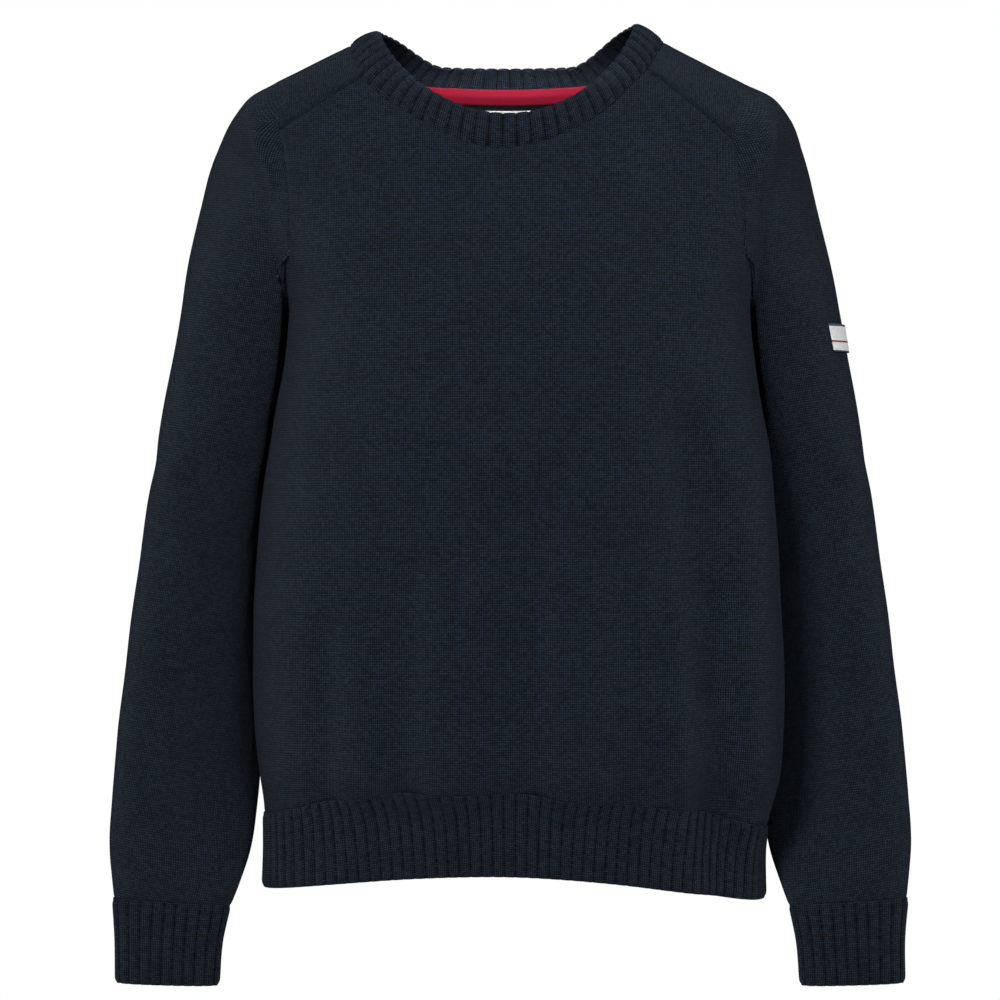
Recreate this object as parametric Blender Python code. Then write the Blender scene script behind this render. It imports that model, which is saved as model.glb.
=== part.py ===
"""A crewneck sweater, filled out and open at the neck, hem and cuffs, as a figure would wear it.

The garment is upright and hangs from its shoulders. X runs to the wearer's left, Y to the back and Z up,
in metres. The origin is between the shoulders, at the height where the neck seam crosses them.

The torso is a stack of rounded sections. The front panel, the back panel and the two saddles are cut from
it along their seams. Each sleeve is a run of rings that starts on the armhole seam, and its saddle is the
strap that runs from there to the neck. The hem, the cuffs and the collar are ribbed bands.
"""

import math

import bmesh
import bpy
import numpy as np

# Cloth
WALL = 0.0026
SEAM_GAP = 0.0003
RIB_HEIGHT = 0.0016
TRIM_WALL = 0.0010
SHARP_ANGLE = math.radians(50.0)

# Levels and counts
UNDERARM_Z = -0.190
HEM_MIDDLE_Z = -0.630
HEM_RIBS_A_SIDE = 56
CUFF_RIBS = 22
COLLAR_RIBS = 64

# Trims, placed by rows and columns of the piece that they lie on
TRIM_LIFT = 0.0006
TAPE_X = (-0.106, 0.099)
TAPE_STEPS = 12
TAPE_TOP = 0.36
TAPE_FOOT = 0.20
LABEL_ROWS = (0.36, 1.30)
LABEL_HALF_COLUMNS = 1.25
BADGE_ROLL = 6
BADGE_ROWS = (6.15, 6.60)
BADGE_COLUMNS = (-2.6, -2.0, -1.0, 0.0, 0.5)

# How finely each piece is divided
SADDLE_LENGTHS = 5
SADDLE_HALF_STEPS = 3
ARMHOLE_STEPS = 7
FRONT_NECK_STEPS = 14
BACK_NECK_STEPS = 10
BODY_LENGTHS = 10
HEM_LENGTHS = 2
COLLAR_LENGTHS = 3

# Torso sections. right and left are half-widths to the wearer's right (-X) and left (+X).
TORSO_COLUMNS = ("z", "right", "left", "front", "back", "squareness")
TORSO = (
    (0.016, 0.094, 0.098, 0.008, 0.012, 2.00),
    (0.000, 0.128, 0.125, 0.030, 0.034, 2.00),
    (-0.020, 0.168, 0.163, 0.050, 0.063, 2.00),
    (-0.036, 0.198, 0.193, 0.062, 0.079, 2.05),
    (-0.052, 0.209, 0.205, 0.071, 0.090, 2.15),
    (-0.090, 0.211, 0.210, 0.087, 0.104, 2.30),
    (-0.140, 0.201, 0.205, 0.104, 0.114, 2.45),
    (-0.170, 0.191, 0.198, 0.111, 0.117, 2.50),
    (-0.190, 0.183, 0.193, 0.115, 0.117, 2.50),
    (-0.208, 0.179, 0.190, 0.118, 0.116, 2.50),
    (-0.230, 0.180, 0.191, 0.120, 0.115, 2.50),
    (-0.260, 0.183, 0.195, 0.121, 0.113, 2.50),
    (-0.300, 0.190, 0.201, 0.121, 0.110, 2.50),
    (-0.350, 0.197, 0.207, 0.119, 0.107, 2.55),
    (-0.420, 0.204, 0.213, 0.114, 0.104, 2.60),
    (-0.490, 0.207, 0.216, 0.110, 0.103, 2.70),
    (-0.550, 0.205, 0.215, 0.108, 0.104, 2.80),
    (-0.585, 0.201, 0.211, 0.103, 0.101, 2.90),
    (-0.605, 0.198, 0.206, 0.093, 0.093, 3.00),
    (-0.635, 0.197, 0.202, 0.088, 0.088, 3.10),
    (-0.690, 0.199, 0.202, 0.085, 0.085, 3.10),
)

# Heights of the hem band's seam and of its lower edge, across the body.
HEM_COLUMNS = ("x", "seam_z", "edge_z")
HEM = (
    (-0.205, -0.6160, -0.6720),
    (-0.150, -0.6035, -0.6650),
    (-0.080, -0.5955, -0.6590),
    (0.000, -0.5955, -0.6575),
    (0.080, -0.6035, -0.6630),
    (0.150, -0.6115, -0.6725),
    (0.210, -0.6265, -0.6820),
)

# Soft folds down the torso: a trough where depth is positive, a ridge where it is negative.
FOLD_COLUMNS = ("side", "top_x", "top_z", "foot_x", "foot_z", "half_width", "depth")
FOLDS = (
    ("front", 0.132, -0.260, 0.172, -0.680, 0.022, 0.0150),
    ("front", 0.192, -0.280, 0.196, -0.590, 0.016, -0.0040),
    ("front", 0.090, -0.360, 0.094, -0.610, 0.026, 0.0055),
    ("front", 0.129, -0.400, 0.132, -0.610, 0.014, -0.0025),
    ("front", 0.002, -0.340, 0.000, -0.610, 0.028, 0.0045),
    ("front", 0.043, -0.360, 0.044, -0.600, 0.024, -0.0030),
    ("front", -0.092, -0.380, -0.092, -0.610, 0.024, 0.0045),
    ("front", -0.050, -0.380, -0.050, -0.600, 0.024, -0.0025),
    ("front", -0.146, -0.430, -0.150, -0.610, 0.018, 0.0035),
    ("front", -0.122, -0.480, -0.122, -0.600, 0.014, -0.0020),
    ("back", 0.120, -0.260, 0.140, -0.620, 0.030, 0.0060),
    ("back", 0.020, -0.300, 0.030, -0.600, 0.034, 0.0040),
    ("back", -0.120, -0.260, -0.135, -0.620, 0.030, 0.0060),
)
FOLD_FADE = 0.060

# Neck seam across the front and the back, seen from the front.
NECK_COLUMNS = ("x", "z")
FRONT_NECK = (
    (-0.1190, -0.0300),
    (-0.1010, -0.0470),
    (-0.0830, -0.0600),
    (-0.0560, -0.0765),
    (-0.0280, -0.0865),
    (-0.0040, -0.0892),
    (0.0230, -0.0850),
    (0.0510, -0.0720),
    (0.0740, -0.0560),
    (0.0930, -0.0370),
    (0.1060, -0.0230),
)
BACK_NECK = (
    (-0.1120, -0.0220),
    (-0.0800, -0.0285),
    (0.0000, -0.0320),
    (0.0780, -0.0270),
    (0.1080, -0.0190),
)
NECK_RIDGE_X = {"right": 0.128, "left": 0.120}

# Armhole seam from the saddle's corner down to the underarm, in front. The back has the same x and z.
ARMHOLE_COLUMNS = ("z", "x")
ARMHOLE = {
    "right": ((-0.074, 0.1840), (-0.098, 0.1785), (-0.125, 0.1755), (-0.150, 0.1755), (-0.172, 0.1775)),
    "left": ((-0.082, 0.1745), (-0.105, 0.1785), (-0.130, 0.1805), (-0.150, 0.1830), (-0.172, 0.1860)),
}
ARMHOLE_RIDGE_X = {"right": 0.187, "left": 0.184}

# Rings of each sleeve from the shoulder to the cuff's edge. outer and inner are the ends of a ring, seen
# from the front, with x as a distance from the middle. depth is the ring's half-depth.
RING_COLUMNS = ("outer_x", "outer_y", "outer_z", "inner_x", "inner_y", "inner_z", "depth", "squareness")
RIGHT_RINGS = (
    (0.2115, 0.002, -0.0450, 0.1860, 0.004, -0.1935, 0.0620, 2.1),
    (0.2240, 0.001, -0.0620, 0.1840, 0.022, -0.1990, 0.0620, 2.1),
    (0.2305, -0.004, -0.0860, 0.1815, 0.036, -0.2070, 0.0625, 2.1),
    (0.2372, -0.007, -0.1250, 0.1790, 0.046, -0.2210, 0.0610, 2.1),
    (0.2452, -0.008, -0.1640, 0.1760, 0.057, -0.2380, 0.0580, 2.1),
    (0.2555, -0.007, -0.2120, 0.1760, 0.060, -0.2640, 0.0520, 2.1),
    (0.2655, -0.007, -0.2620, 0.1790, 0.065, -0.2960, 0.0475, 2.1),
    (0.2765, -0.006, -0.3160, 0.1890, 0.064, -0.3330, 0.0435, 2.1),
    (0.2850, -0.007, -0.3650, 0.1990, 0.062, -0.3760, 0.0405, 2.1),
    (0.2940, -0.008, -0.4250, 0.2070, 0.060, -0.4320, 0.0375, 2.1),
    (0.3035, -0.010, -0.4900, 0.2100, 0.058, -0.4940, 0.0345, 2.1),
    (0.3126, -0.011, -0.5500, 0.2060, 0.056, -0.5540, 0.0330, 2.1),
    (0.3185, -0.012, -0.6000, 0.2070, 0.036, -0.6050, 0.0300, 2.2),
    (0.3208, -0.012, -0.6400, 0.2105, 0.008, -0.6450, 0.0260, 2.2),
    (0.3190, -0.012, -0.6650, 0.2190, -0.008, -0.6710, 0.0210, 2.3),
    (0.3172, -0.012, -0.6825, 0.2256, -0.010, -0.6880, 0.0165, 2.5),
    (0.3154, -0.012, -0.7120, 0.2318, -0.010, -0.7160, 0.0155, 2.6),
    (0.3150, -0.012, -0.7480, 0.2344, -0.010, -0.7505, 0.0150, 2.6),
)
LEFT_RINGS = (
    (0.2108, 0.004, -0.0450, 0.1960, 0.006, -0.1935, 0.0620, 2.1),
    (0.2240, 0.005, -0.0620, 0.1945, 0.022, -0.1990, 0.0600, 2.1),
    (0.2303, 0.005, -0.0860, 0.1920, 0.033, -0.2070, 0.0600, 2.1),
    (0.2376, 0.006, -0.1250, 0.1905, 0.042, -0.2210, 0.0585, 2.1),
    (0.2460, 0.007, -0.1640, 0.1890, 0.051, -0.2400, 0.0555, 2.1),
    (0.2567, 0.012, -0.2120, 0.1870, 0.062, -0.2660, 0.0510, 2.1),
    (0.2668, 0.018, -0.2620, 0.1890, 0.073, -0.2960, 0.0460, 2.1),
    (0.2772, 0.022, -0.3160, 0.1970, 0.079, -0.3330, 0.0420, 2.1),
    (0.2850, 0.022, -0.3650, 0.2030, 0.085, -0.3760, 0.0400, 2.1),
    (0.2932, 0.018, -0.4250, 0.2080, 0.086, -0.4320, 0.0375, 2.1),
    (0.3020, 0.013, -0.4900, 0.2110, 0.085, -0.4940, 0.0345, 2.1),
    (0.3106, 0.004, -0.5500, 0.2105, 0.077, -0.5540, 0.0315, 2.1),
    (0.3162, -0.002, -0.6000, 0.2070, 0.062, -0.6050, 0.0285, 2.2),
    (0.3183, -0.007, -0.6400, 0.2090, 0.026, -0.6450, 0.0260, 2.2),
    (0.3165, -0.010, -0.6650, 0.2165, 0.002, -0.6710, 0.0210, 2.3),
    (0.3145, -0.012, -0.6825, 0.2220, -0.008, -0.6880, 0.0165, 2.5),
    (0.3118, -0.012, -0.7120, 0.2277, -0.010, -0.7160, 0.0155, 2.6),
    (0.3120, -0.012, -0.7480, 0.2305, -0.010, -0.7505, 0.0150, 2.6),
)
CUFF_RING = 15
SLEEVE_CLEARANCE = 0.005
LED_SHARES = (0.17, 0.36, 0.56, 0.78)
LED_FROM = math.radians(50.0)
LED_OVER = math.radians(60.0)

# Collar's upper edge: an oval, lowest in front.
COLLAR_EDGE_CENTRE = (-0.0040, -0.0070)
COLLAR_EDGE_HALF_WIDTH = 0.1010
COLLAR_EDGE_HALF_DEPTH = 0.0710
COLLAR_EDGE_Z = {"right": 0.0098, "left": 0.0158, "front": -0.0622, "back": -0.0115}
COLLAR_DROP_POWER = 1.45
COLLAR_BACK_RISE = 0.5
COLLAR_CROWN = 0.0020

# Colours as red, green and blue, and roughness
COLOURS = {
    "knit": ((0.030, 0.040, 0.056), 0.90),
    "tape": ((0.410, 0.020, 0.052), 0.75),
    "label": ((0.720, 0.710, 0.700), 0.70),
}
SIDES = {"right": -1.0, "left": 1.0}
SLEEVE_TABLES = {"right": RIGHT_RINGS, "left": LEFT_RINGS}


def smooth_table(rows, at):
    """Every column but the first, on a smooth curve through the rows, where the first column is at."""
    rows = np.asarray(rows, float)
    if rows[0, 0] > rows[-1, 0]:
        rows = rows[::-1]
    keys, values = rows[:, 0], rows[:, 1:]
    slopes = np.gradient(values, keys, axis=0)
    at = np.clip(np.asarray(at, float), keys[0], keys[-1])
    low = np.clip(np.searchsorted(keys, at, side="right") - 1, 0, len(keys) - 2)
    span = keys[low + 1] - keys[low]
    share = ((at - keys[low]) / span)[..., None]
    span = span[..., None]
    return (
        values[low] * (1 + 2 * share) * (1 - share) ** 2
        + slopes[low] * span * share * (1 - share) ** 2
        + values[low + 1] * share**2 * (3 - 2 * share)
        + slopes[low + 1] * span * share**2 * (share - 1)
    )


def even_steps(points, steps):
    """Positions, counted in rows of points, that divide the line through them into equal lengths."""
    lengths = np.linalg.norm(np.diff(points, axis=0), axis=-1)
    travelled = np.concatenate([[0.0], np.cumsum(lengths)])
    wanted = np.linspace(0.0, travelled[-1], steps + 1)
    return np.interp(wanted, travelled, np.arange(len(points)))


def smooth_line(points, steps):
    """A smooth line through the points, as steps + 1 evenly spaced ones."""
    table = np.column_stack([np.arange(len(points)), points])
    fine = smooth_table(table, np.linspace(0, len(points) - 1, 40 * len(points)))
    at = even_steps(fine, steps)
    return np.column_stack([np.interp(at, np.arange(len(fine)), fine[:, c]) for c in range(fine.shape[1])])


def unit(vectors):
    """The vectors, each with length one."""
    return vectors / np.maximum(np.linalg.norm(vectors, axis=-1, keepdims=True), 1e-12)


def smooth_step(share):
    """Zero to one with level ends."""
    share = np.clip(share, 0.0, 1.0)
    return share * share * (3 - 2 * share)


def torso_base(angle, z):
    """The torso's sections with no folds. angle runs from the wearer's left (0) by the back to the front."""
    right, left, front, back, power = np.moveaxis(smooth_table(TORSO, z), -1, 0)
    across, along = np.cos(angle), np.sin(angle)
    half_width = np.where(across < 0, right, left)
    half_depth = np.where(along < 0, front, back)
    radius = (np.abs(across / half_width) ** power + np.abs(along / half_depth) ** power) ** (-1 / power)
    return np.stack([radius * across, radius * along, np.broadcast_to(z, np.shape(radius))], axis=-1)


def torso_out(angle, z):
    """The direction out of the torso's surface."""
    turn, rise = 1e-3, 5e-4
    around = torso_base(angle + turn, z) - torso_base(angle - turn, z)
    up = torso_base(angle, z + rise) - torso_base(angle, z - rise)
    return unit(np.cross(around, up))


def fold_depth(points):
    """How far the folds push the torso's surface in at each point."""
    depth = np.zeros(points.shape[:-1])
    x, y, z = np.moveaxis(points, -1, 0)
    for side, top_x, top_z, foot_x, foot_z, half_width, fold in FOLDS:
        share = (z - foot_z) / (top_z - foot_z)
        middle = foot_x + (top_x - foot_x) * share
        across = np.exp(-(((x - middle) / half_width) ** 2))
        length = smooth_step((top_z - z) / FOLD_FADE) * smooth_step((z - foot_z) / FOLD_FADE + 1)
        facing = smooth_step((-y if side == "front" else y) / 0.03)
        depth = depth + fold * across * length * facing
    return depth


def torso(angle, z):
    """The torso's surface with its folds."""
    points = torso_base(angle, z)
    return points - torso_out(angle, z) * fold_depth(points)[..., None]


def angle_at(x, z, face):
    """The section angle of the torso's point at x, on its front or its back."""
    right, left, front, back, power = np.moveaxis(smooth_table(TORSO, z), -1, 0)
    half_width = np.where(x < 0, right, left)
    rest = np.clip(1 - np.abs(x / half_width) ** power, 0.0, 1.0) ** (1 / power)
    angle = np.arctan2(-front * rest if face == "front" else back * rest, x)
    return np.where(angle < 0, angle + 2 * math.pi, angle) if face == "front" else angle


def height_at(x, y):
    """The height of the shoulder's top surface over x and y."""
    low, high = np.full(np.shape(x), -0.120), np.full(np.shape(x), 0.016)
    for _ in range(40):
        middle = (low + high) / 2
        right, left, front, back, power = np.moveaxis(smooth_table(TORSO, middle), -1, 0)
        half_width = np.where(x < 0, right, left)
        half_depth = np.where(y < 0, front, back)
        inside = np.abs(x / half_width) ** power + np.abs(y / half_depth) ** power < 1
        low, high = np.where(inside, middle, low), np.where(inside, high, middle)
    return (low + high) / 2


def armhole_seam(side):
    """Angle and height down the armhole in front, from the saddle's corner to the underarm."""
    z, x = np.asarray(ARMHOLE[side]).T
    sign = SIDES[side]
    angle = angle_at(sign * x, z, "front")
    end = math.pi if side == "right" else 2 * math.pi
    line = np.vstack([np.column_stack([angle, z]), [end, UNDERARM_Z]])
    fine = smooth_line(line, 60)
    at = even_steps(torso_base(fine[:, 0], fine[:, 1]), ARMHOLE_STEPS)
    return np.column_stack([np.interp(at, np.arange(len(fine)), fine[:, c]) for c in range(2)])


def mirrored_to_back(line):
    """The same heights on the torso's back, at the same x."""
    x = torso_base(line[:, 0], line[:, 1])[:, 0]
    right, left, *_ = np.moveaxis(smooth_table(TORSO, line[:, 1]), -1, 0)
    limit = np.where(x < 0, right, left)
    return np.column_stack([angle_at(np.clip(x, -limit, limit), line[:, 1], "back"), line[:, 1]])


def saddle_seam(side, face):
    """Angle and height along a saddle's seam, from the neck to the armhole."""
    neck = (FRONT_NECK if face == "front" else BACK_NECK)[0 if side == "right" else -1]
    corner_z, corner_x = ARMHOLE[side][0]
    share = np.linspace(0.0, 1.0, SADDLE_LENGTHS + 1)
    x = neck[0] + (SIDES[side] * corner_x - neck[0]) * share
    z = neck[1] + (corner_z - neck[1]) * share
    return np.column_stack([angle_at(x, z, face), z])


def neck_seam(face):
    """Angle and height along the neck seam of a panel, from the wearer's right to the left."""
    rows, steps = (FRONT_NECK, FRONT_NECK_STEPS) if face == "front" else (BACK_NECK, BACK_NECK_STEPS)
    line = smooth_line(np.asarray(rows), steps)
    return np.column_stack([angle_at(line[:, 0], line[:, 1], face), line[:, 1]])


def hem_levels(angle):
    """Heights of the hem band's seam and of its lower edge, at angles round the body."""
    across = torso_base(angle, np.full(np.shape(angle), HEM_MIDDLE_Z))[..., 0]
    return np.moveaxis(smooth_table(HEM, across), -1, 0)


def panel_domain(face):
    """Angle and height of a panel's points: rows from the hem seam up, columns from right to left."""
    shoulder = {side: saddle_seam(side, face) for side in SIDES}
    top = np.vstack([shoulder["right"][::-1][:-1], neck_seam(face), shoulder["left"][1:]])
    armhole = {side: armhole_seam(side) for side in SIDES}
    if face == "back":
        armhole = {side: mirrored_to_back(line) for side, line in armhole.items()}
    columns = len(top) - 1
    ends = (math.pi, 2 * math.pi) if face == "front" else (math.pi, 0.0)
    armhole["right"][-1, 0], armhole["left"][-1, 0] = ends
    fine = np.linspace(ends[0], ends[1], 400)

    def level(z):
        at = even_steps(torso_base(fine, np.full(len(fine), z)), columns)
        return np.interp(at, np.arange(len(fine)), fine)

    rows = []
    for j in range(BODY_LENGTHS):
        share = j / BODY_LENGTHS
        angle = level(HEM_MIDDLE_Z + (UNDERARM_Z - HEM_MIDDLE_Z) * share)
        seam = hem_levels(angle)[0]
        rows.append(np.column_stack([angle, seam + (UNDERARM_Z - seam) * share]))
    bottom = np.column_stack([level(UNDERARM_Z), np.full(columns + 1, UNDERARM_Z)])
    across = np.linspace(0.0, 1.0, columns + 1)[:, None]
    for j in range(ARMHOLE_STEPS + 1):
        share = j / ARMHOLE_STEPS
        right, left = (armhole[side][ARMHOLE_STEPS - j] for side in ("right", "left"))
        corners = (1 - share) * ((1 - across) * bottom[0] + across * bottom[-1])
        corners = corners + share * ((1 - across) * top[0] + across * top[-1])
        rows.append((1 - share) * bottom + share * top + (1 - across) * right + across * left - corners)
    return np.asarray(rows)


def saddle_points(side):
    """Points of a saddle: rows from the neck to the armhole, columns from its front seam to its back one."""
    front, back = (torso_base(*saddle_seam(side, face).T)[:, :2] for face in ("front", "back"))
    sign = SIDES[side]
    bulge = np.linspace(sign * NECK_RIDGE_X[side], sign * ARMHOLE_RIDGE_X[side], SADDLE_LENGTHS + 1)
    across = np.linspace(0.0, 1.0, 2 * SADDLE_HALF_STEPS + 1)
    rows = []
    for start, end, ridge in zip(front, back, bulge):
        line = start + (end - start) * across[:, None]
        ridge_share = start[1] / (start[1] - end[1])
        straight = start[0] + (end[0] - start[0]) * ridge_share
        line[:, 0] += (ridge - straight) * np.sin(math.pi * across)
        rows.append(np.column_stack([line, height_at(line[:, 0], line[:, 1])]))
    return np.asarray(rows)


def armhole_ring(side):
    """The sleeve's first ring: over the saddle's end, down the front to the underarm and up the back."""
    over = saddle_points(side)[-1]
    down = armhole_seam(side)
    front = torso_base(*down.T)
    back = torso_base(*mirrored_to_back(down).T)
    back[-1] = front[-1]
    middle = SADDLE_HALF_STEPS
    return np.vstack([over[middle::-1], front[1:], back[-2:0:-1], over[:middle:-1]])


def ring_turns():
    """The angle of each point round a ring: 0 at its outer end, a quarter turn in front, half a turn inside."""
    corner = math.radians(58.0)
    front = np.concatenate(
        [
            np.linspace(0.0, corner, SADDLE_HALF_STEPS + 1),
            np.linspace(corner, math.pi, ARMHOLE_STEPS + 1)[1:],
        ]
    )
    return np.concatenate([front, 2 * math.pi - front[-2:0:-1]])


def kept_clear(points):
    """Points of a sleeve, moved out where they would touch the torso."""
    x, y, z = np.moveaxis(points, -1, 0)
    right, left, front, back, power = np.moveaxis(smooth_table(TORSO, z), -1, 0)
    half_width = np.where(x < 0, right, left)
    half_depth = np.where(y < 0, front, back)
    level = (np.abs(x / half_width) ** power + np.abs(y / half_depth) ** power) ** (1 / power)
    scale = np.maximum(1.0, 1 / level + SLEEVE_CLEARANCE / np.hypot(x, y))
    return points * np.stack([scale, scale, np.ones_like(scale)], axis=-1)


def led_from_seam(seam, rings):
    """A sleeve's rings, the first of them led straight from the armhole seam on their inner side."""
    turns = ring_turns()
    inner = smooth_step((math.pi - np.abs(turns - math.pi) - LED_FROM) / LED_OVER)[:, None]
    last = rings[len(LED_SHARES)]
    for number, share in enumerate(LED_SHARES):
        rings[number] += inner * (seam + (last - seam) * share - rings[number])
    return rings


def sleeve_rings(side, turns):
    """Points of every ring in a sleeve's table."""
    rings = []
    for outer_x, outer_y, outer_z, inner_x, inner_y, inner_z, depth, power in SLEEVE_TABLES[side]:
        outer = np.array([outer_x, outer_y, outer_z])
        inner = np.array([inner_x, inner_y, inner_z])
        half = (outer - inner) / 2
        forward = np.array([half[1], -math.hypot(half[0], half[2]), 0.0])
        forward = unit(forward - half * (forward @ half) / (half @ half))
        across = np.sign(np.cos(turns)) * np.abs(np.cos(turns)) ** (2 / power)
        along = np.sign(np.sin(turns)) * np.abs(np.sin(turns)) ** (2 / power)
        ring = (outer + inner) / 2 + across[:, None] * half + along[:, None] * forward * depth
        rings.append(ring * (SIDES[side], 1.0, 1.0))
    return np.asarray(rings)


def sleeve_points(side):
    """Rings of a sleeve from the armhole seam to the cuff's seam."""
    seam = armhole_ring(side)
    rings = led_from_seam(seam, sleeve_rings(side, ring_turns())[: CUFF_RING + 1])
    return np.concatenate([seam[None], kept_clear(rings)])


def cuff_points(side):
    """Rings of a cuff, with three points to a rib."""
    fine = np.linspace(0.0, 2 * math.pi, 800)
    middle = sleeve_rings(side, fine)[CUFF_RING + 1]
    turns = np.interp(even_steps(middle, 3 * CUFF_RIBS)[:-1], np.arange(len(fine)), fine)
    return sleeve_rings(side, turns)[CUFF_RING:]


def outwards(points, closed_round):
    """Directions out of a grid's surface, where its columns run forwards round the outside."""
    if closed_round:
        around = np.roll(points, -1, axis=1) - np.roll(points, 1, axis=1)
    else:
        around = np.gradient(points, axis=1)
    return unit(np.cross(around, np.gradient(points, axis=0)))


def within_ring(ring, out):
    """The directions out of a flat ring, with no part along the sleeve."""
    quarter = len(ring) // 4
    axis = unit(np.cross(ring[quarter] - ring[0], ring[2 * quarter] - ring[0]))
    return unit(out - (out @ axis)[:, None] * axis)


def facing_torso(points):
    """The direction out of the torso at points on its surface."""
    return torso_out(np.arctan2(points[..., 1], points[..., 0]), points[..., 2])


def grid_faces(numbers, closed_round=False):
    """Faces between the points of a grid, which holds each point's number."""
    if closed_round:
        numbers = np.hstack([numbers, numbers[:, :1]])
    corners = (numbers[:-1, :-1], numbers[:-1, 1:], numbers[1:, 1:], numbers[1:, :-1])
    return np.stack([corner.ravel() for corner in corners], axis=1)


def numbers_of(points):
    """A number for each point of a grid."""
    return np.arange(points.shape[0] * points.shape[1]).reshape(points.shape[:2])


def rim_of(faces):
    """The edges that only one face has, each in that face's direction."""
    edges = {(int(a), int(b)) for face in faces for a, b in zip(face, np.roll(face, -1))}
    return sorted((a, b) for a, b in edges if (b, a) not in edges)


def drawn_in(points, facing, faces, distance):
    """The points, with the rim of their surface drawn in by a distance at right angles to facing."""
    corners = points[faces]
    turned = np.cross(corners[:, 1] - corners[:, 0], corners[:, 3] - corners[:, 0])
    sign = np.sign((turned * facing[faces[:, 0]]).sum())
    sides = {}
    for a, b in rim_of(faces):
        inwards = sign * unit(np.cross(facing[a] + facing[b], points[b] - points[a]))
        sides.setdefault(a, []).append(inwards)
        sides.setdefault(b, []).append(inwards)
    moved = points.copy()
    for number, (first, second) in sides.items():
        moved[number] += distance * (first + second) / (1 + first @ second)
    return moved


def material(name, look):
    """A plain material in one of the named colours."""
    found = bpy.data.materials.new(name)
    found.use_nodes = True
    shader = found.node_tree.nodes["Principled BSDF"]
    colour, roughness = COLOURS[look]
    shader.inputs["Base Color"].default_value = (*colour, 1.0)
    shader.inputs["Roughness"].default_value = roughness
    return found


def add_wall(name, points, out, faces, look="knit", thickness=WALL, raised=0.0):
    """A closed wall: the points, raised on the outside, and the same points moved in, joined round the rim."""
    outside = points + out * np.reshape(raised, (-1, 1))
    inside = points - out * thickness
    count = len(points)
    shape = bmesh.new()
    corners = [shape.verts.new(point) for point in np.vstack([outside, inside])]
    for face in faces:
        shape.faces.new([corners[n] for n in face])
        shape.faces.new([corners[count + n] for n in face[::-1]])
    for a, b in rim_of(faces):
        shape.faces.new([corners[n] for n in (b, a, count + a, count + b)])
    bmesh.ops.recalc_face_normals(shape, faces=shape.faces[:])
    mesh = bpy.data.meshes.new(name)
    shape.to_mesh(mesh)
    shape.free()
    mesh.shade_smooth()
    mesh.set_sharp_from_angle(angle=SHARP_ANGLE)
    mesh.materials.append(material(name, look))
    bpy.data.collections["crewneck_sweater"].objects.link(bpy.data.objects.new(name, mesh))


def panel_surface(face):
    """A body panel as a grid of points, the directions out of it and its faces."""
    angle, z = np.moveaxis(panel_domain(face), -1, 0)
    points, out = torso(angle, z), torso_out(angle, z)
    return points, out, grid_faces(numbers_of(points))


def add_panel(face):
    """The front or the back of the body."""
    points, out, faces = panel_surface(face)
    points, out = points.reshape(-1, 3), out.reshape(-1, 3)
    add_wall(face + "_panel", drawn_in(points, out, faces, SEAM_GAP / 2), out, faces)


def sleeve_surface(side):
    """A sleeve as a grid of rings, and the directions out of it."""
    rings = sleeve_points(side)
    out = outwards(rings, True) * SIDES[side]
    at_seam = facing_torso(rings[0])
    own = smooth_step((-0.100 - rings[0, :, 2:]) / 0.080)
    out[0] = unit(own * out[0] + (1 - own) * at_seam)
    out[-1] = within_ring(rings[-1], out[-1])
    return rings, out


def add_sleeve(side):
    """A sleeve, with the saddle that runs from it to the neck."""
    rings, out = sleeve_surface(side)
    saddle = saddle_points(side)[:-1, ::-1]
    numbers = numbers_of(rings)
    middle = SADDLE_HALF_STEPS
    shared = np.concatenate([numbers[0, -middle:], numbers[0, : middle + 1]])
    strap = np.vstack([numbers_of(saddle) + numbers.size, shared])
    faces = np.vstack([grid_faces(numbers, True), grid_faces(strap)])
    over = facing_torso(saddle)
    facing = out.copy()
    facing[0] = facing_torso(rings[0])
    points, out, facing = (
        np.vstack([below.reshape(-1, 3), above.reshape(-1, 3)])
        for below, above in ((rings, saddle), (out, over), (facing, over))
    )
    points = drawn_in(points, facing, faces, SEAM_GAP / 2)
    add_wall(side + "_sleeve", points, out, faces)


def rib_heights(ribs, rows, closed_round):
    """How far each point of a ribbed band is raised: two points of every three."""
    row = np.tile([0.0, RIB_HEIGHT, RIB_HEIGHT], ribs)
    return np.tile(row if closed_round else np.append(row, 0.0), (rows, 1))


def hem_surface(face):
    """Half of the hem band: rows from its lower edge up to the seam."""
    start, end = (math.pi, 2 * math.pi) if face == "front" else (math.pi, 0.0)
    fine = np.linspace(start, end, 2000)
    at = even_steps(torso_base(fine, np.full(len(fine), HEM_MIDDLE_Z)), 3 * HEM_RIBS_A_SIDE)
    angle = np.interp(at, np.arange(len(fine)), fine)
    seam, edge = hem_levels(angle)
    seam = seam - SEAM_GAP
    rows = [edge + (seam - edge) * j / HEM_LENGTHS for j in range(HEM_LENGTHS + 1)]
    return torso(angle, np.asarray(rows)), torso_out(angle, np.asarray(rows))


def add_hem(face):
    """Half of the ribbed band at the bottom of the body."""
    points, out = hem_surface(face)
    faces = grid_faces(numbers_of(points))
    raised = rib_heights(HEM_RIBS_A_SIDE, len(points), False)
    points, out = points.reshape(-1, 3), out.reshape(-1, 3)
    add_wall("hem_" + face, drawn_in(points, out, faces, SEAM_GAP / 2), out, faces, raised=raised)


def add_cuff(side):
    """The ribbed band at the end of a sleeve."""
    rings = cuff_points(side)
    out = outwards(rings, True) * SIDES[side]
    out[0] = within_ring(rings[0], out[0])
    faces = grid_faces(numbers_of(rings), True)
    raised = rib_heights(CUFF_RIBS, len(rings), True)
    points, out = rings.reshape(-1, 3), out.reshape(-1, 3)
    add_wall(side + "_cuff", drawn_in(points, out, faces, SEAM_GAP / 2), out, faces, raised=raised)


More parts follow.
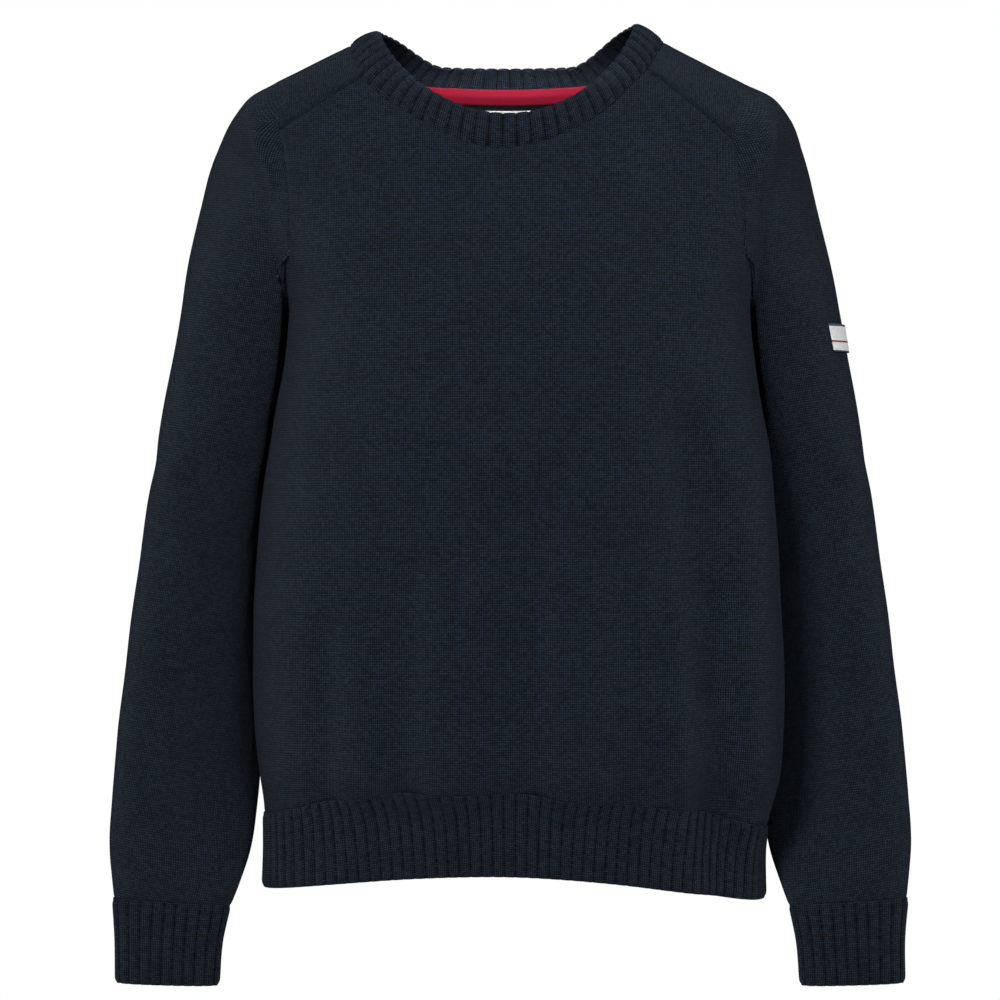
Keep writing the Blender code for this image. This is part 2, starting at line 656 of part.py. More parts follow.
def neck_loop():
    """The neck seam all the way round, from the wearer's right across the front."""
    front, back = (torso_base(*neck_seam(face).T) for face in ("front", "back"))
    right, left = (saddle_points(side)[0] for side in ("right", "left"))
    return np.vstack([front[:-1], left[:-1], back[:0:-1], right[:0:-1]])


def collar_surface():
    """The collar: rows from the neck seam up to its open edge."""
    loop = neck_loop()
    closed = np.vstack([loop, loop[:1]])
    at = even_steps(closed, 3 * COLLAR_RIBS)[:-1]
    seam = np.column_stack([np.interp(at, np.arange(len(closed)), closed[:, c]) for c in range(3)])
    centre = np.array(COLLAR_EDGE_CENTRE)
    half = np.array([COLLAR_EDGE_HALF_WIDTH, COLLAR_EDGE_HALF_DEPTH])
    across, along = unit((seam[:, :2] - centre) / half).T
    level = COLLAR_EDGE_Z["right"] + (COLLAR_EDGE_Z["left"] - COLLAR_EDGE_Z["right"]) * (1 + across) / 2
    lowest = np.where(along < 0, COLLAR_EDGE_Z["front"], COLLAR_EDGE_Z["back"])
    deep, flat = np.abs(along) ** COLLAR_DROP_POWER, smooth_step((1 - np.abs(across)) / COLLAR_BACK_RISE)
    height = level - (level - lowest) * np.where(along < 0, deep, flat)
    edge = np.column_stack([centre + np.column_stack([across, along]) * half, height])
    share = np.linspace(0.0, 1.0, COLLAR_LENGTHS + 1)[:, None, None]
    flat = seam + (edge - seam) * share
    points = flat + outwards(flat, True) * COLLAR_CROWN * np.sin(math.pi * share)
    out = outwards(points, True)
    out[0] = facing_torso(seam)
    return points, out


def add_collar():
    """The ribbed band round the neck."""
    points, out = collar_surface()
    faces = grid_faces(numbers_of(points), True)
    raised = rib_heights(COLLAR_RIBS, len(points), True)
    points, out = points.reshape(-1, 3), out.reshape(-1, 3)
    add_wall("collar", drawn_in(points, out, faces, SEAM_GAP / 2), out, faces, raised=raised)


def between(grid, rows, columns):
    """Points of a grid at rows and columns that needn't be whole numbers."""
    rows, columns = np.meshgrid(rows, columns, indexing="ij")
    low_row = np.clip(np.floor(rows).astype(int), 0, grid.shape[0] - 2)
    low_column = np.clip(np.floor(columns).astype(int), 0, grid.shape[1] - 2)
    up, on = (rows - low_row)[..., None], (columns - low_column)[..., None]
    lower = grid[low_row, low_column] * (1 - on) + grid[low_row, low_column + 1] * on
    upper = grid[low_row + 1, low_column] * (1 - on) + grid[low_row + 1, low_column + 1] * on
    return lower * (1 - up) + upper * up


def add_trim(name, points, out, lift, look):
    """A thin piece that lies at a lift over the outer points of what carries it."""
    faces = grid_faces(numbers_of(points))
    points, out = (points + out * lift).reshape(-1, 3), out.reshape(-1, 3)
    add_wall(name, points, out, faces, look, thickness=TRIM_WALL)


def row_at(grid, row, x):
    """Points of a grid's row at these places across the back of the neck."""
    line = between(grid, [row], np.arange(grid.shape[1]))[0]
    line = line[line[:, 1] > 0.0]
    line = line[np.argsort(line[:, 0])]
    return np.column_stack([np.interp(x, line[:, 0], line[:, c]) for c in range(3)])


def tape_points(panel, collar):
    """Outer points under the tape: on the back panel, along the neck seam and on the collar."""
    x = np.linspace(TAPE_X[1], TAPE_X[0], TAPE_STEPS + 1)
    top = len(panel) - 1
    return np.stack([row_at(panel, top - TAPE_FOOT, x), row_at(collar, 0, x),
                     row_at(collar, TAPE_TOP * COLLAR_LENGTHS, x)])


def add_neck_trims():
    """The tape inside the back of the neck, over its seam, and the blank label under it."""
    panel, panel_out, _ = panel_surface("back")
    lift = -WALL - TRIM_LIFT
    points = tape_points(panel, collar_surface()[0])
    add_trim("neck_tape", points, outwards(points, False), lift, "tape")
    top, middle = len(panel) - 1, SADDLE_LENGTHS + BACK_NECK_STEPS / 2
    rows = np.array([top - LABEL_ROWS[1], top - 1, top - LABEL_ROWS[0]])
    columns = np.array([middle - LABEL_HALF_COLUMNS, middle, middle + LABEL_HALF_COLUMNS])
    add_trim("neck_label", between(panel, rows, columns), unit(between(panel_out, rows, columns)), lift, "label")


def add_badge():
    """The plain badge on the outer edge of the wearer's left sleeve."""
    rings, out = sleeve_surface("left")
    turned, out = np.roll(rings, BADGE_ROLL, axis=1), np.roll(out, BADGE_ROLL, axis=1)
    columns = np.array(BADGE_COLUMNS) + BADGE_ROLL
    points, out = between(turned, BADGE_ROWS, columns), unit(between(out, BADGE_ROWS, columns))
    add_trim("sleeve_badge", points, out, TRIM_LIFT + TRIM_WALL, "label")


def main():
    for old in list(bpy.data.objects):
        bpy.data.objects.remove(old, do_unlink=True)
    garment = bpy.data.collections.new("crewneck_sweater")
    bpy.context.scene.collection.children.link(garment)
    for face in ("front", "back"):
        add_panel(face)
        add_hem(face)
    for side in SIDES:
        add_sleeve(side)
        add_cuff(side)
    add_collar()
    add_neck_trims()
    add_badge()


main()
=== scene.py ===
"""Dresses the crewneck sweater: knitted shells, ribbed bands, neck tape, blank label and badge.

The garment is upright. X runs to the wearer's left, Y to the back and Z up, in metres. The tables and the
functions that place the cloth are those of the solids, on finer grids. A pale floor, soft lamps and a
camera in front complete the scene.
"""

import math

import bmesh
import bpy
import numpy as np
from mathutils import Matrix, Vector


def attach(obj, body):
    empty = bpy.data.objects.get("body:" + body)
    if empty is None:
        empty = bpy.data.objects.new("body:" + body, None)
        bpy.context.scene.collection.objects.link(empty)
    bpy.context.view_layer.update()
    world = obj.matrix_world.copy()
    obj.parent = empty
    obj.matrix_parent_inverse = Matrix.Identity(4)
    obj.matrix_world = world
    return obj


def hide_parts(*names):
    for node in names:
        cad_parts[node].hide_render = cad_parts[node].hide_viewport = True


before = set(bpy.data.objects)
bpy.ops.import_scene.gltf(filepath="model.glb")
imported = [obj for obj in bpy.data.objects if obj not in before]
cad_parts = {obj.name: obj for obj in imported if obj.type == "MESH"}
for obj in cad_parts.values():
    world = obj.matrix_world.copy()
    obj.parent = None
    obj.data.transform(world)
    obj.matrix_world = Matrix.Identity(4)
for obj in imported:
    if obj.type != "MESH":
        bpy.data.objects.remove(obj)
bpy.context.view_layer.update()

# Cloth: walls, the gap at a seam, ribs, and the width and height of a stitch
WALL = 0.0024
COLLAR_WALL = 0.0034
TRIM_WALL = 0.0008
SEAM_GAP = 0.0003
RIB_HEIGHT = 0.0017
INNER_RIB_HEIGHT = 0.0009
WALE = 0.0028
COURSE = 0.0019

# Levels and counts
UNDERARM_Z = -0.190
HEM_MIDDLE_Z = -0.630
HEM_RIBS_A_SIDE = 56
CUFF_RIBS = 22
COLLAR_RIBS = 64
POINTS_A_RIB = 8
WALES_A_RIB = 3

# How finely each piece is divided, and how many samples measure a curve
SADDLE_LENGTHS = 30
SADDLE_HALF_STEPS = 12
ARMHOLE_STEPS = 36
FRONT_NECK_STEPS = 84
BACK_NECK_STEPS = 80
BODY_LENGTHS = 90
SLEEVE_LENGTHS = 190
BAND_LENGTHS = 12
TAPE_COLUMNS = 120
SAMPLES_A_POINT = 40
ARMHOLE_SAMPLES = 60
KNIT_SAMPLES = 25
LEVEL_SAMPLES = 300
ROUND_SAMPLES = 400
CUFF_SAMPLES = 1200
HEM_SAMPLES = 4000
HALVINGS = 40

# Where the back's grid is evened out, in rows from its top and columns from its sides
EVENED_ROWS = 34
EVENED_INSET = 6
EVENED_FADE = 14
EVENINGS = 120

# Torso sections. right and left are half-widths to the wearer's right (-X) and left (+X).
# Columns: z, right, left, front, back, squareness
TORSO = (
    (0.016, 0.094, 0.098, 0.008, 0.012, 2.0),
    (0.0, 0.128, 0.125, 0.03, 0.034, 2.0),
    (-0.02, 0.168, 0.163, 0.05, 0.063, 2.0),
    (-0.036, 0.198, 0.193, 0.062, 0.079, 2.05),
    (-0.052, 0.209, 0.205, 0.071, 0.09, 2.15),
    (-0.09, 0.211, 0.21, 0.087, 0.104, 2.3),
    (-0.14, 0.201, 0.205, 0.104, 0.114, 2.45),
    (-0.17, 0.191, 0.198, 0.111, 0.117, 2.5),
    (-0.19, 0.183, 0.193, 0.115, 0.117, 2.5),
    (-0.208, 0.179, 0.19, 0.118, 0.116, 2.5),
    (-0.23, 0.18, 0.191, 0.12, 0.115, 2.5),
    (-0.26, 0.183, 0.195, 0.121, 0.113, 2.5),
    (-0.3, 0.19, 0.201, 0.121, 0.11, 2.5),
    (-0.35, 0.197, 0.207, 0.119, 0.107, 2.55),
    (-0.42, 0.204, 0.213, 0.114, 0.104, 2.6),
    (-0.49, 0.207, 0.216, 0.11, 0.103, 2.7),
    (-0.55, 0.205, 0.215, 0.108, 0.104, 2.8),
    (-0.585, 0.201, 0.211, 0.103, 0.101, 2.9),
    (-0.605, 0.198, 0.206, 0.093, 0.093, 3.0),
    (-0.635, 0.197, 0.202, 0.088, 0.088, 3.1),
    (-0.69, 0.199, 0.202, 0.085, 0.085, 3.1),
)

# Heights of the hem band's seam and of its lower edge, across the body.
# Columns: x, seam_z, edge_z
HEM = (
    (-0.205, -0.616, -0.672), (-0.15, -0.6035, -0.665), (-0.08, -0.5955, -0.659), (0.0, -0.5955, -0.6575),
    (0.08, -0.6035, -0.663), (0.15, -0.6115, -0.6725), (0.21, -0.6265, -0.682),
)

# Soft folds down the torso: a trough where depth is positive, a ridge where it is negative.
# Columns: top_x, top_z, foot_x, foot_z, half_width, depth
FOLDS = {
    "front": (
        (0.132, -0.26, 0.172, -0.68, 0.022, 0.015),
        (0.192, -0.28, 0.196, -0.59, 0.016, -0.004),
        (0.09, -0.36, 0.094, -0.61, 0.026, 0.0055),
        (0.129, -0.4, 0.132, -0.61, 0.014, -0.0025),
        (0.002, -0.34, 0.0, -0.61, 0.028, 0.0045),
        (0.043, -0.36, 0.044, -0.6, 0.024, -0.003),
        (-0.092, -0.38, -0.092, -0.61, 0.024, 0.0045),
        (-0.05, -0.38, -0.05, -0.6, 0.024, -0.0025),
        (-0.146, -0.43, -0.15, -0.61, 0.018, 0.0035),
        (-0.122, -0.48, -0.122, -0.6, 0.014, -0.002),
    ),
    "back": (
        (0.12, -0.26, 0.14, -0.62, 0.03, 0.006),
        (0.02, -0.3, 0.03, -0.6, 0.034, 0.004),
        (-0.12, -0.26, -0.135, -0.62, 0.03, 0.006),
    ),
}
FOLD_FADE = 0.06
FOLD_SIDE_FADE = 0.03

# Neck seam across the front and the back, seen from the front.
# Columns: x, z
FRONT_NECK = (
    (-0.119, -0.03), (-0.101, -0.047), (-0.083, -0.06), (-0.056, -0.0765),
    (-0.028, -0.0865), (-0.004, -0.0892), (0.023, -0.085), (0.051, -0.072),
    (0.074, -0.056), (0.093, -0.037), (0.106, -0.023),
)
BACK_NECK = (
    (-0.112, -0.022), (-0.08, -0.0285), (0.0, -0.032), (0.078, -0.027), (0.108, -0.019),
)
NECK_RIDGE_X = {"right": 0.128, "left": 0.12}
SHOULDER_LEVELS = (-0.12, 0.016)

# Armhole seam from the saddle's corner down to the underarm, in front. The back has the same x and z.
# Columns: z, x
ARMHOLE = {
    "right": ((-0.074, 0.184), (-0.098, 0.1785), (-0.125, 0.1755), (-0.15, 0.1755), (-0.172, 0.1775)),
    "left": ((-0.082, 0.1745), (-0.105, 0.1785), (-0.13, 0.1805), (-0.15, 0.183), (-0.172, 0.186)),
}
ARMHOLE_RIDGE_X = {"right": 0.187, "left": 0.184}

# Rings of each sleeve from the shoulder to the cuff's edge. outer and inner are the ends of a ring, seen
# from the front, with x as a distance from the middle. depth is the ring's half-depth.
# Columns: outer_x, outer_y, outer_z, inner_x, inner_y, inner_z, depth, squareness
RIGHT_RINGS = (
    (0.2115, 0.002, -0.045, 0.186, 0.004, -0.1935, 0.062, 2.1),
    (0.224, 0.001, -0.062, 0.184, 0.022, -0.199, 0.062, 2.1),
    (0.2305, -0.004, -0.086, 0.1815, 0.036, -0.207, 0.0625, 2.1),
    (0.2372, -0.007, -0.125, 0.179, 0.046, -0.221, 0.061, 2.1),
    (0.2452, -0.008, -0.164, 0.176, 0.057, -0.238, 0.058, 2.1),
    (0.2555, -0.007, -0.212, 0.176, 0.06, -0.264, 0.052, 2.1),
    (0.2655, -0.007, -0.262, 0.179, 0.065, -0.296, 0.0475, 2.1),
    (0.2765, -0.006, -0.316, 0.189, 0.064, -0.333, 0.0435, 2.1),
    (0.285, -0.007, -0.365, 0.199, 0.062, -0.376, 0.0405, 2.1),
    (0.294, -0.008, -0.425, 0.207, 0.06, -0.432, 0.0375, 2.1),
    (0.3035, -0.01, -0.49, 0.21, 0.058, -0.494, 0.0345, 2.1),
    (0.3126, -0.011, -0.55, 0.206, 0.056, -0.554, 0.033, 2.1),
    (0.3185, -0.012, -0.6, 0.207, 0.036, -0.605, 0.03, 2.2),
    (0.3208, -0.012, -0.64, 0.2105, 0.008, -0.645, 0.026, 2.2),
    (0.319, -0.012, -0.665, 0.219, -0.008, -0.671, 0.021, 2.3),
    (0.3172, -0.012, -0.6825, 0.2256, -0.01, -0.688, 0.0165, 2.5),
    (0.3154, -0.012, -0.712, 0.2318, -0.01, -0.716, 0.0155, 2.6),
    (0.315, -0.012, -0.748, 0.2344, -0.01, -0.7505, 0.015, 2.6),
)
LEFT_RINGS = (
    (0.2108, 0.004, -0.045, 0.196, 0.006, -0.1935, 0.062, 2.1),
    (0.224, 0.005, -0.062, 0.1945, 0.022, -0.199, 0.06, 2.1),
    (0.2303, 0.005, -0.086, 0.192, 0.033, -0.207, 0.06, 2.1),
    (0.2376, 0.006, -0.125, 0.1905, 0.042, -0.221, 0.0585, 2.1),
    (0.246, 0.007, -0.164, 0.189, 0.051, -0.24, 0.0555, 2.1),
    (0.2567, 0.012, -0.212, 0.187, 0.062, -0.266, 0.051, 2.1),
    (0.2668, 0.018, -0.262, 0.189, 0.073, -0.296, 0.046, 2.1),
    (0.2772, 0.022, -0.316, 0.197, 0.079, -0.333, 0.042, 2.1),
    (0.285, 0.022, -0.365, 0.203, 0.085, -0.376, 0.04, 2.1),
    (0.2932, 0.018, -0.425, 0.208, 0.086, -0.432, 0.0375, 2.1),
    (0.302, 0.013, -0.49, 0.211, 0.085, -0.494, 0.0345, 2.1),
    (0.3106, 0.004, -0.55, 0.2105, 0.077, -0.554, 0.0315, 2.1),
    (0.3162, -0.002, -0.6, 0.207, 0.062, -0.605, 0.0285, 2.2),
    (0.3183, -0.007, -0.64, 0.209, 0.026, -0.645, 0.026, 2.2),
    (0.3165, -0.01, -0.665, 0.2165, 0.002, -0.671, 0.021, 2.3),
    (0.3145, -0.012, -0.6825, 0.222, -0.008, -0.688, 0.0165, 2.5),
    (0.3118, -0.012, -0.712, 0.2277, -0.01, -0.716, 0.0155, 2.6),
    (0.312, -0.012, -0.748, 0.2305, -0.01, -0.7505, 0.015, 2.6),
)
CUFF_RING = 15
CORNER_TURN = math.radians(58.0)
SLEEVE_CLEARANCE = 0.005
CLEARING_RINGS = 6
LED_SHARES = (0.17, 0.36, 0.56, 0.78)
LED_FROM = math.radians(50.0)
LED_OVER = math.radians(60.0)

# Collar's upper edge: an oval, lowest in front.
COLLAR_EDGE_CENTRE = (-0.004, -0.007)
COLLAR_EDGE_HALF_WIDTH = 0.101
COLLAR_EDGE_HALF_DEPTH = 0.071
COLLAR_EDGE_Z = {"right": 0.0098, "left": 0.0158, "front": -0.0622, "back": -0.0115}
COLLAR_DROP_POWER = 1.45
COLLAR_BACK_RISE = 0.5
COLLAR_CROWN = 0.002

# Small creases on the body, as lines from (x, z) to (x, z)
# Columns: x0, z0, x1, z1, half_width, depth
CREASES = {
    "front": (
        (-0.17, -0.19, -0.12, -0.25, 0.011, 0.0012),
        (-0.165, -0.215, -0.135, -0.29, 0.012, 0.001),
        (0.176, -0.195, 0.125, -0.245, 0.011, 0.0012),
        (0.172, -0.225, 0.14, -0.3, 0.013, 0.001),
        (0.153, -0.33, 0.164, -0.44, 0.01, 0.003),
        (0.164, -0.44, 0.16, -0.515, 0.0095, 0.004),
        (0.16, -0.515, 0.178, -0.605, 0.01, 0.004),
        (0.117, -0.4, 0.119, -0.61, 0.006, 0.0024),
        (0.023, -0.35, 0.019, -0.6, 0.011, 0.0032),
        (-0.079, -0.42, -0.081, -0.6, 0.01, 0.0032),
        (-0.142, -0.46, -0.144, -0.605, 0.01, 0.003),
        (-0.11, -0.52, -0.113, -0.6, 0.009, -0.0012),
        (-0.025, -0.43, -0.027, -0.58, 0.012, -0.0012),
        (0.062, -0.37, 0.066, -0.6, 0.014, -0.0016),
        (0.139, -0.41, 0.138, -0.6, 0.0085, -0.0014),
        (-0.09, -0.56, -0.04, -0.585, 0.01, 0.0012),
        (0.06, -0.55, 0.105, -0.585, 0.01, 0.0012),
    ),
    "back": (
        (-0.17, -0.2, -0.11, -0.26, 0.012, 0.002),
        (0.172, -0.205, 0.115, -0.27, 0.012, 0.002),
        (-0.06, -0.54, 0.02, -0.58, 0.012, 0.0015),
        (0.07, -0.52, 0.13, -0.58, 0.012, 0.0018),
    ),
}

# Folds on the sleeves, as lines from (down, round) to (down, round). round is positive towards the front.
# Columns: down0, round0, down1, round1, half_width, depth
SLEEVE_FOLDS = {
    "right": (
        (0.24, 0.121, 0.6, 0.119, 0.01, 0.014),
        (0.03, 0.212, 0.1, 0.198, 0.024, -0.004),
        (0.03, -0.212, 0.1, -0.198, 0.024, -0.004),
        (0.56, 0.03, 0.65, 0.055, 0.013, 0.0018),
        (0.6, 0.095, 0.66, 0.07, 0.012, 0.002),
        (0.33, 0.025, 0.38, 0.085, 0.015, 0.0014),
        (0.11, 0.065, 0.21, 0.05, 0.014, 0.0014),
        (0.34, -0.03, 0.39, -0.09, 0.013, 0.003),
        (0.58, -0.03, 0.64, -0.07, 0.012, 0.003),
    ),
    "left": (
        (0.03, 0.205, 0.1, 0.192, 0.024, -0.0035),
        (0.03, -0.205, 0.1, -0.192, 0.024, -0.0035),
        (0.55, 0.088, 0.665, 0.058, 0.013, 0.005),
        (0.47, 0.07, 0.56, 0.1, 0.014, 0.0025),
        (0.1, 0.07, 0.2, 0.045, 0.014, 0.0016),
        (0.33, 0.03, 0.37, 0.09, 0.013, 0.0014),
        (0.35, -0.03, 0.4, -0.09, 0.013, 0.003),
        (0.58, -0.03, 0.64, -0.07, 0.012, 0.003),
    ),
}
SLEEVE_FOLD_FADE = 0.03

# Slow waves in hanging cloth, the sleeves' at another place in them than the body's
# Columns: radians a metre across the knitting, radians a metre along it, start, share
WAVE_HEIGHT = 0.0005
WAVES = ((31, 17, 0.4, 1.0), (53, -29, 1.9, 0.7), (19, 71, 4.1, 0.5))
SLEEVE_WAVES_AT = 0.3

# Edges that roll in, and bands that tuck into the piece they are sewn to
SEAM_ROLL = 0.0009
EDGE_ROLL = 0.0016
ROLL_WIDTH = 0.0022
TUCK = 0.0012
TUCK_SHARE = 0.03
RIB_ROUNDING = 0.45
EDGE_POSITIONS = (0.0, 0.15, 0.35, 0.6, 1.0, 1.5)

# The sleeve's first ring faces out of the body above this height, and out of the arm a fade below it
FACING_TOP = -0.1
FACING_FADE = 0.08

# Marks where the knitting narrows beside the armholes
MARKS_ABOVE_UNDERARM = 0.01
MARKS_OFF_SADDLE = 0.008
NO_MARK = 1.0
MARK_DEPTH = 1.6
MARK_INSET = 0.0125
MARK_SIZE = 0.0019
MARK_PITCH = 0.01

# Trims, placed by rows and columns of the back panel and the left sleeve
TRIM_LIFT = 0.0006
TAPE_X = (-0.106, 0.099)
TAPE_TOP = 0.36
TAPE_FOOT = 1.1
LABEL_ROWS = (2.0, 6.6)
LABEL_HALF_COLUMNS = 7.4
BADGE_Z = (-0.2225, -0.2448)
BADGE_COLUMNS = (-10.4, 2.0)
BADGE_LINE = (0.0085, 0.0007)
BADGE_BORDERS = (0.0011, 0.021)
WELD = 2e-5

# Knitting on the sleeves: the arms' slant from upright, and how the wales spread over the cap
ARM_TILT = math.radians(9.0)
CAP_KNIT = (0.15, 0.3)
CAP_ARC = 1.05

# Stitches: a leg's slant in courses, the step between the numbers of neighbouring wales, relief and grain
KNIT_FOOT_Z = -0.70
LEG_SLANT = 1.3
WALE_STEP = 7.31
STITCH_RELIEF = 0.0008
YARN_GRAIN = 600.0
PATCH_GRAIN = 24.0
FUZZ_GRAIN = 1500.0
# Painted shade that darkens the furrows between ribs
FURROW_SHADE = 0.6
TAPE_THREAD = 0.001
LABEL_THREAD = 0.0006

# Colours
# Yarn: painted shade in the gaps between stitch legs and courses at the dark end, the yarn's own colour on
# the crests at the light end
YARN_GAP_SHADE = (0.0018, 0.0025, 0.0037)
YARN_LIGHT = (0.0209, 0.0304, 0.046)
BLOOM = (0.45, 0.55, 0.7)
TAPE_RED = (0.206, 0.005, 0.02)
# TAPE_SHADE, LABEL_SHADE and BADGE_SHADE are the dark ends of each weave: painted shade between the
# threads, mixed with random tone
TAPE_SHADE = (0.18, 0.004, 0.018)
LABEL_PALE = (0.72, 0.71, 0.7)
LABEL_SHADE = (0.6, 0.6, 0.61)
BADGE_SHADE = (0.58, 0.58, 0.6)
BADGE_EDGE = (0.05, 0.06, 0.09)
# Random mottle of the yarn, whose dark end also paints the shade in the rib furrows
MOTTLE_AND_FURROW_SHADE = ((0.3, 0.3, 0.32), (1.7, 1.7, 1.68))
PAPER = ((0.84, 0.84, 0.84), (0.87, 0.87, 0.87))
WHITE = (1.0, 1.0, 1.0, 1.0)
FILL_COLOUR = (0.93, 0.96, 1.0, 1.0)

# Studio
FLOOR_Z = -1.45
FLOOR_HALF = 4.0
FILL = 0.12
CAMERA_PLACE = (-0.0096, -3.0, -0.364)
CAMERA_LENS = 135.0
CAMERA_SENSOR = 36.0
# Columns: name, place, aim, size, power, colour, spread
LAMPS = (
    ("key", (-1.15, -2.6, 1.45), (0.0, 0.0, -0.15), (0.9, 0.9), 95.0, (1.0, 0.99, 0.97), 180),
    ("front", (0.9, -2.8, 0.7), (0.1, 0.0, -0.1), (0.9, 0.9), 28.0, (0.97, 0.98, 1.0), 180),
    ("neck", (0.0, -1.0, -0.015), (0.0, 0.06, -0.022), (0.15, 0.02), 0.029, (1.0, 1.0, 1.0), 3),
    ("rim_left", (-2.0, 0.5, 0.6), (0.0, 0.0, -0.3), (1.2, 1.2), 3.0, (1.0, 1.0, 1.0), 180),
    ("rim_right", (2.2, 0.0, 0.6), (0.25, 0.0, -0.3), (1.0, 1.0), 22.0, (1.0, 1.0, 1.0), 180),
)
SIDES = {"right": -1.0, "left": 1.0}
SLEEVE_TABLES = {"right": RIGHT_RINGS, "left": LEFT_RINGS}


def smooth_table(rows, at):
    """Every column but the first, on a smooth curve through the rows, where the first column is at."""
    rows = np.asarray(rows, float)
    if rows[0, 0] > rows[-1, 0]:
        rows = rows[::-1]
    keys, values = rows[:, 0], rows[:, 1:]
    slopes = np.gradient(values, keys, axis=0)
    at = np.clip(np.asarray(at, float), keys[0], keys[-1])
    low = np.clip(np.searchsorted(keys, at, side="right") - 1, 0, len(keys) - 2)
    span = keys[low + 1] - keys[low]
    share = ((at - keys[low]) / span)[..., None]
    span = span[..., None]
    return (
        values[low] * (1 + 2 * share) * (1 - share) ** 2
        + slopes[low] * span * share * (1 - share) ** 2
        + values[low + 1] * share**2 * (3 - 2 * share)
        + slopes[low + 1] * span * share**2 * (share - 1)
    )


def travelled(points, axis):
    """Distance along a grid's columns (axis 0) or rows (axis 1), from their first point."""
    steps = np.linalg.norm(np.diff(points, axis=axis), axis=-1)
    start = np.zeros_like(np.take(steps, [0], axis=axis))
    return np.concatenate([start, np.cumsum(steps, axis=axis)], axis=axis)


def even_steps(points, steps):
    """Positions, counted in rows of points, that divide the line through them into equal lengths."""
    along = travelled(points, 0)
    return np.interp(np.linspace(0.0, along[-1], steps + 1), along, np.arange(len(points)))


def picked(line, at):
    """Points of a line at positions that needn't be whole numbers."""
    return np.column_stack([np.interp(at, np.arange(len(line)), column) for column in line.T])


def smooth_line(points, steps):
    """A smooth line through the points, as steps + 1 evenly spaced ones."""
    table = np.column_stack([np.arange(len(points)), points])
    fine = smooth_table(table, np.linspace(0, len(points) - 1, SAMPLES_A_POINT * len(points)))
    return picked(fine, even_steps(fine, steps))


def unit(vectors):
    """The vectors, each with length one."""
    return vectors / np.maximum(np.linalg.norm(vectors, axis=-1, keepdims=True), 1e-12)


def smooth_step(share):
    """Zero to one with level ends."""
    share = np.clip(share, 0.0, 1.0)
    return share * share * (3 - 2 * share)


def section(x, y, z):
    """Half-width, half-depth and squareness of the torso's section at z, on the sides where x and y lie."""
    right, left, front, back, power = np.moveaxis(smooth_table(TORSO, z), -1, 0)
    return np.where(x < 0, right, left), np.where(y < 0, front, back), power


def section_level(x, y, z):
    """How far out x and y lie in the torso's section at z, where 1 is on its outline."""
    half_width, half_depth, power = section(x, y, z)
    return (np.abs(x / half_width) ** power + np.abs(y / half_depth) ** power) ** (1 / power)


def torso_base(angle, z):
    """The torso with no folds. angle runs from the wearer's left (0) by the back to the front."""
    across, along = np.cos(angle), np.sin(angle)
    radius = 1 / section_level(across, along, z)
    return np.stack([radius * across, radius * along, np.broadcast_to(z, np.shape(radius))], axis=-1)


def torso_out(angle, z):
    """The direction out of the torso's surface."""
    turn, rise = 1e-3, 5e-4
    around = torso_base(angle + turn, z) - torso_base(angle - turn, z)
    up = torso_base(angle, z + rise) - torso_base(angle, z - rise)
    return unit(np.cross(around, up))


def fold_depth(points):
    """How far the folds push the torso's surface in at each point."""
    depth = np.zeros(points.shape[:-1])
    x, y, z = np.moveaxis(points, -1, 0)
    for face, towards in (("front", -y), ("back", y)):
        facing = smooth_step(towards / FOLD_SIDE_FADE)
        for top_x, top_z, foot_x, foot_z, half_width, fold in FOLDS[face]:
            middle = foot_x + (top_x - foot_x) * (z - foot_z) / (top_z - foot_z)
            across = np.exp(-(((x - middle) / half_width) ** 2))
            length = smooth_step((top_z - z) / FOLD_FADE) * smooth_step((z - foot_z) / FOLD_FADE + 1)
            depth = depth + fold * across * length * facing
    return depth


def torso(angle, z):
    """The torso's surface with its folds."""
    points = torso_base(angle, z)
    return points - torso_out(angle, z) * fold_depth(points)[..., None]


def angle_at(x, z, face):
    """The section angle of the torso's point at x, on its front or its back."""
    half_width, half_depth, power = section(x, -1.0 if face == "front" else 1.0, z)
    rest = np.clip(1 - np.abs(x / half_width) ** power, 0.0, 1.0) ** (1 / power)
    if face == "back":
        return np.arctan2(half_depth * rest, x)
    angle = np.arctan2(-half_depth * rest, x)
    return np.where(angle < 0, angle + 2 * math.pi, angle)


def height_at(x, y):
    """The height of the shoulder's top surface over x and y."""
    low, high = (np.full(np.shape(x), level) for level in SHOULDER_LEVELS)
    for _ in range(HALVINGS):
        middle = (low + high) / 2
        inside = section_level(x, y, middle) < 1
        low, high = np.where(inside, middle, low), np.where(inside, high, middle)
    return (low + high) / 2


def armhole_seam(side):
    """Angle and height down the armhole in front, from the saddle's corner to the underarm."""
    z, x = np.asarray(ARMHOLE[side]).T
    angle = angle_at(SIDES[side] * x, z, "front")
    end = math.pi if side == "right" else 2 * math.pi
    fine = smooth_line(np.vstack([np.column_stack([angle, z]), [end, UNDERARM_Z]]), ARMHOLE_SAMPLES)
    return picked(fine, even_steps(torso_base(*fine.T), ARMHOLE_STEPS))


def mirrored_to_back(line):
    """The same heights on the torso's back, at the same x."""
    z = line[:, 1]
    x = torso_base(line[:, 0], z)[:, 0]
    limit = section(x, 1.0, z)[0]
    return np.column_stack([angle_at(np.clip(x, -limit, limit), z, "back"), z])


def saddle_seam(side, face):
    """Angle and height along a saddle's seam, from the neck to the armhole."""
    neck = (FRONT_NECK if face == "front" else BACK_NECK)[0 if side == "right" else -1]
    corner_z, corner_x = ARMHOLE[side][0]
    share = np.linspace(0.0, 1.0, SADDLE_LENGTHS + 1)
    x = neck[0] + (SIDES[side] * corner_x - neck[0]) * share
    z = neck[1] + (corner_z - neck[1]) * share
    return np.column_stack([angle_at(x, z, face), z])


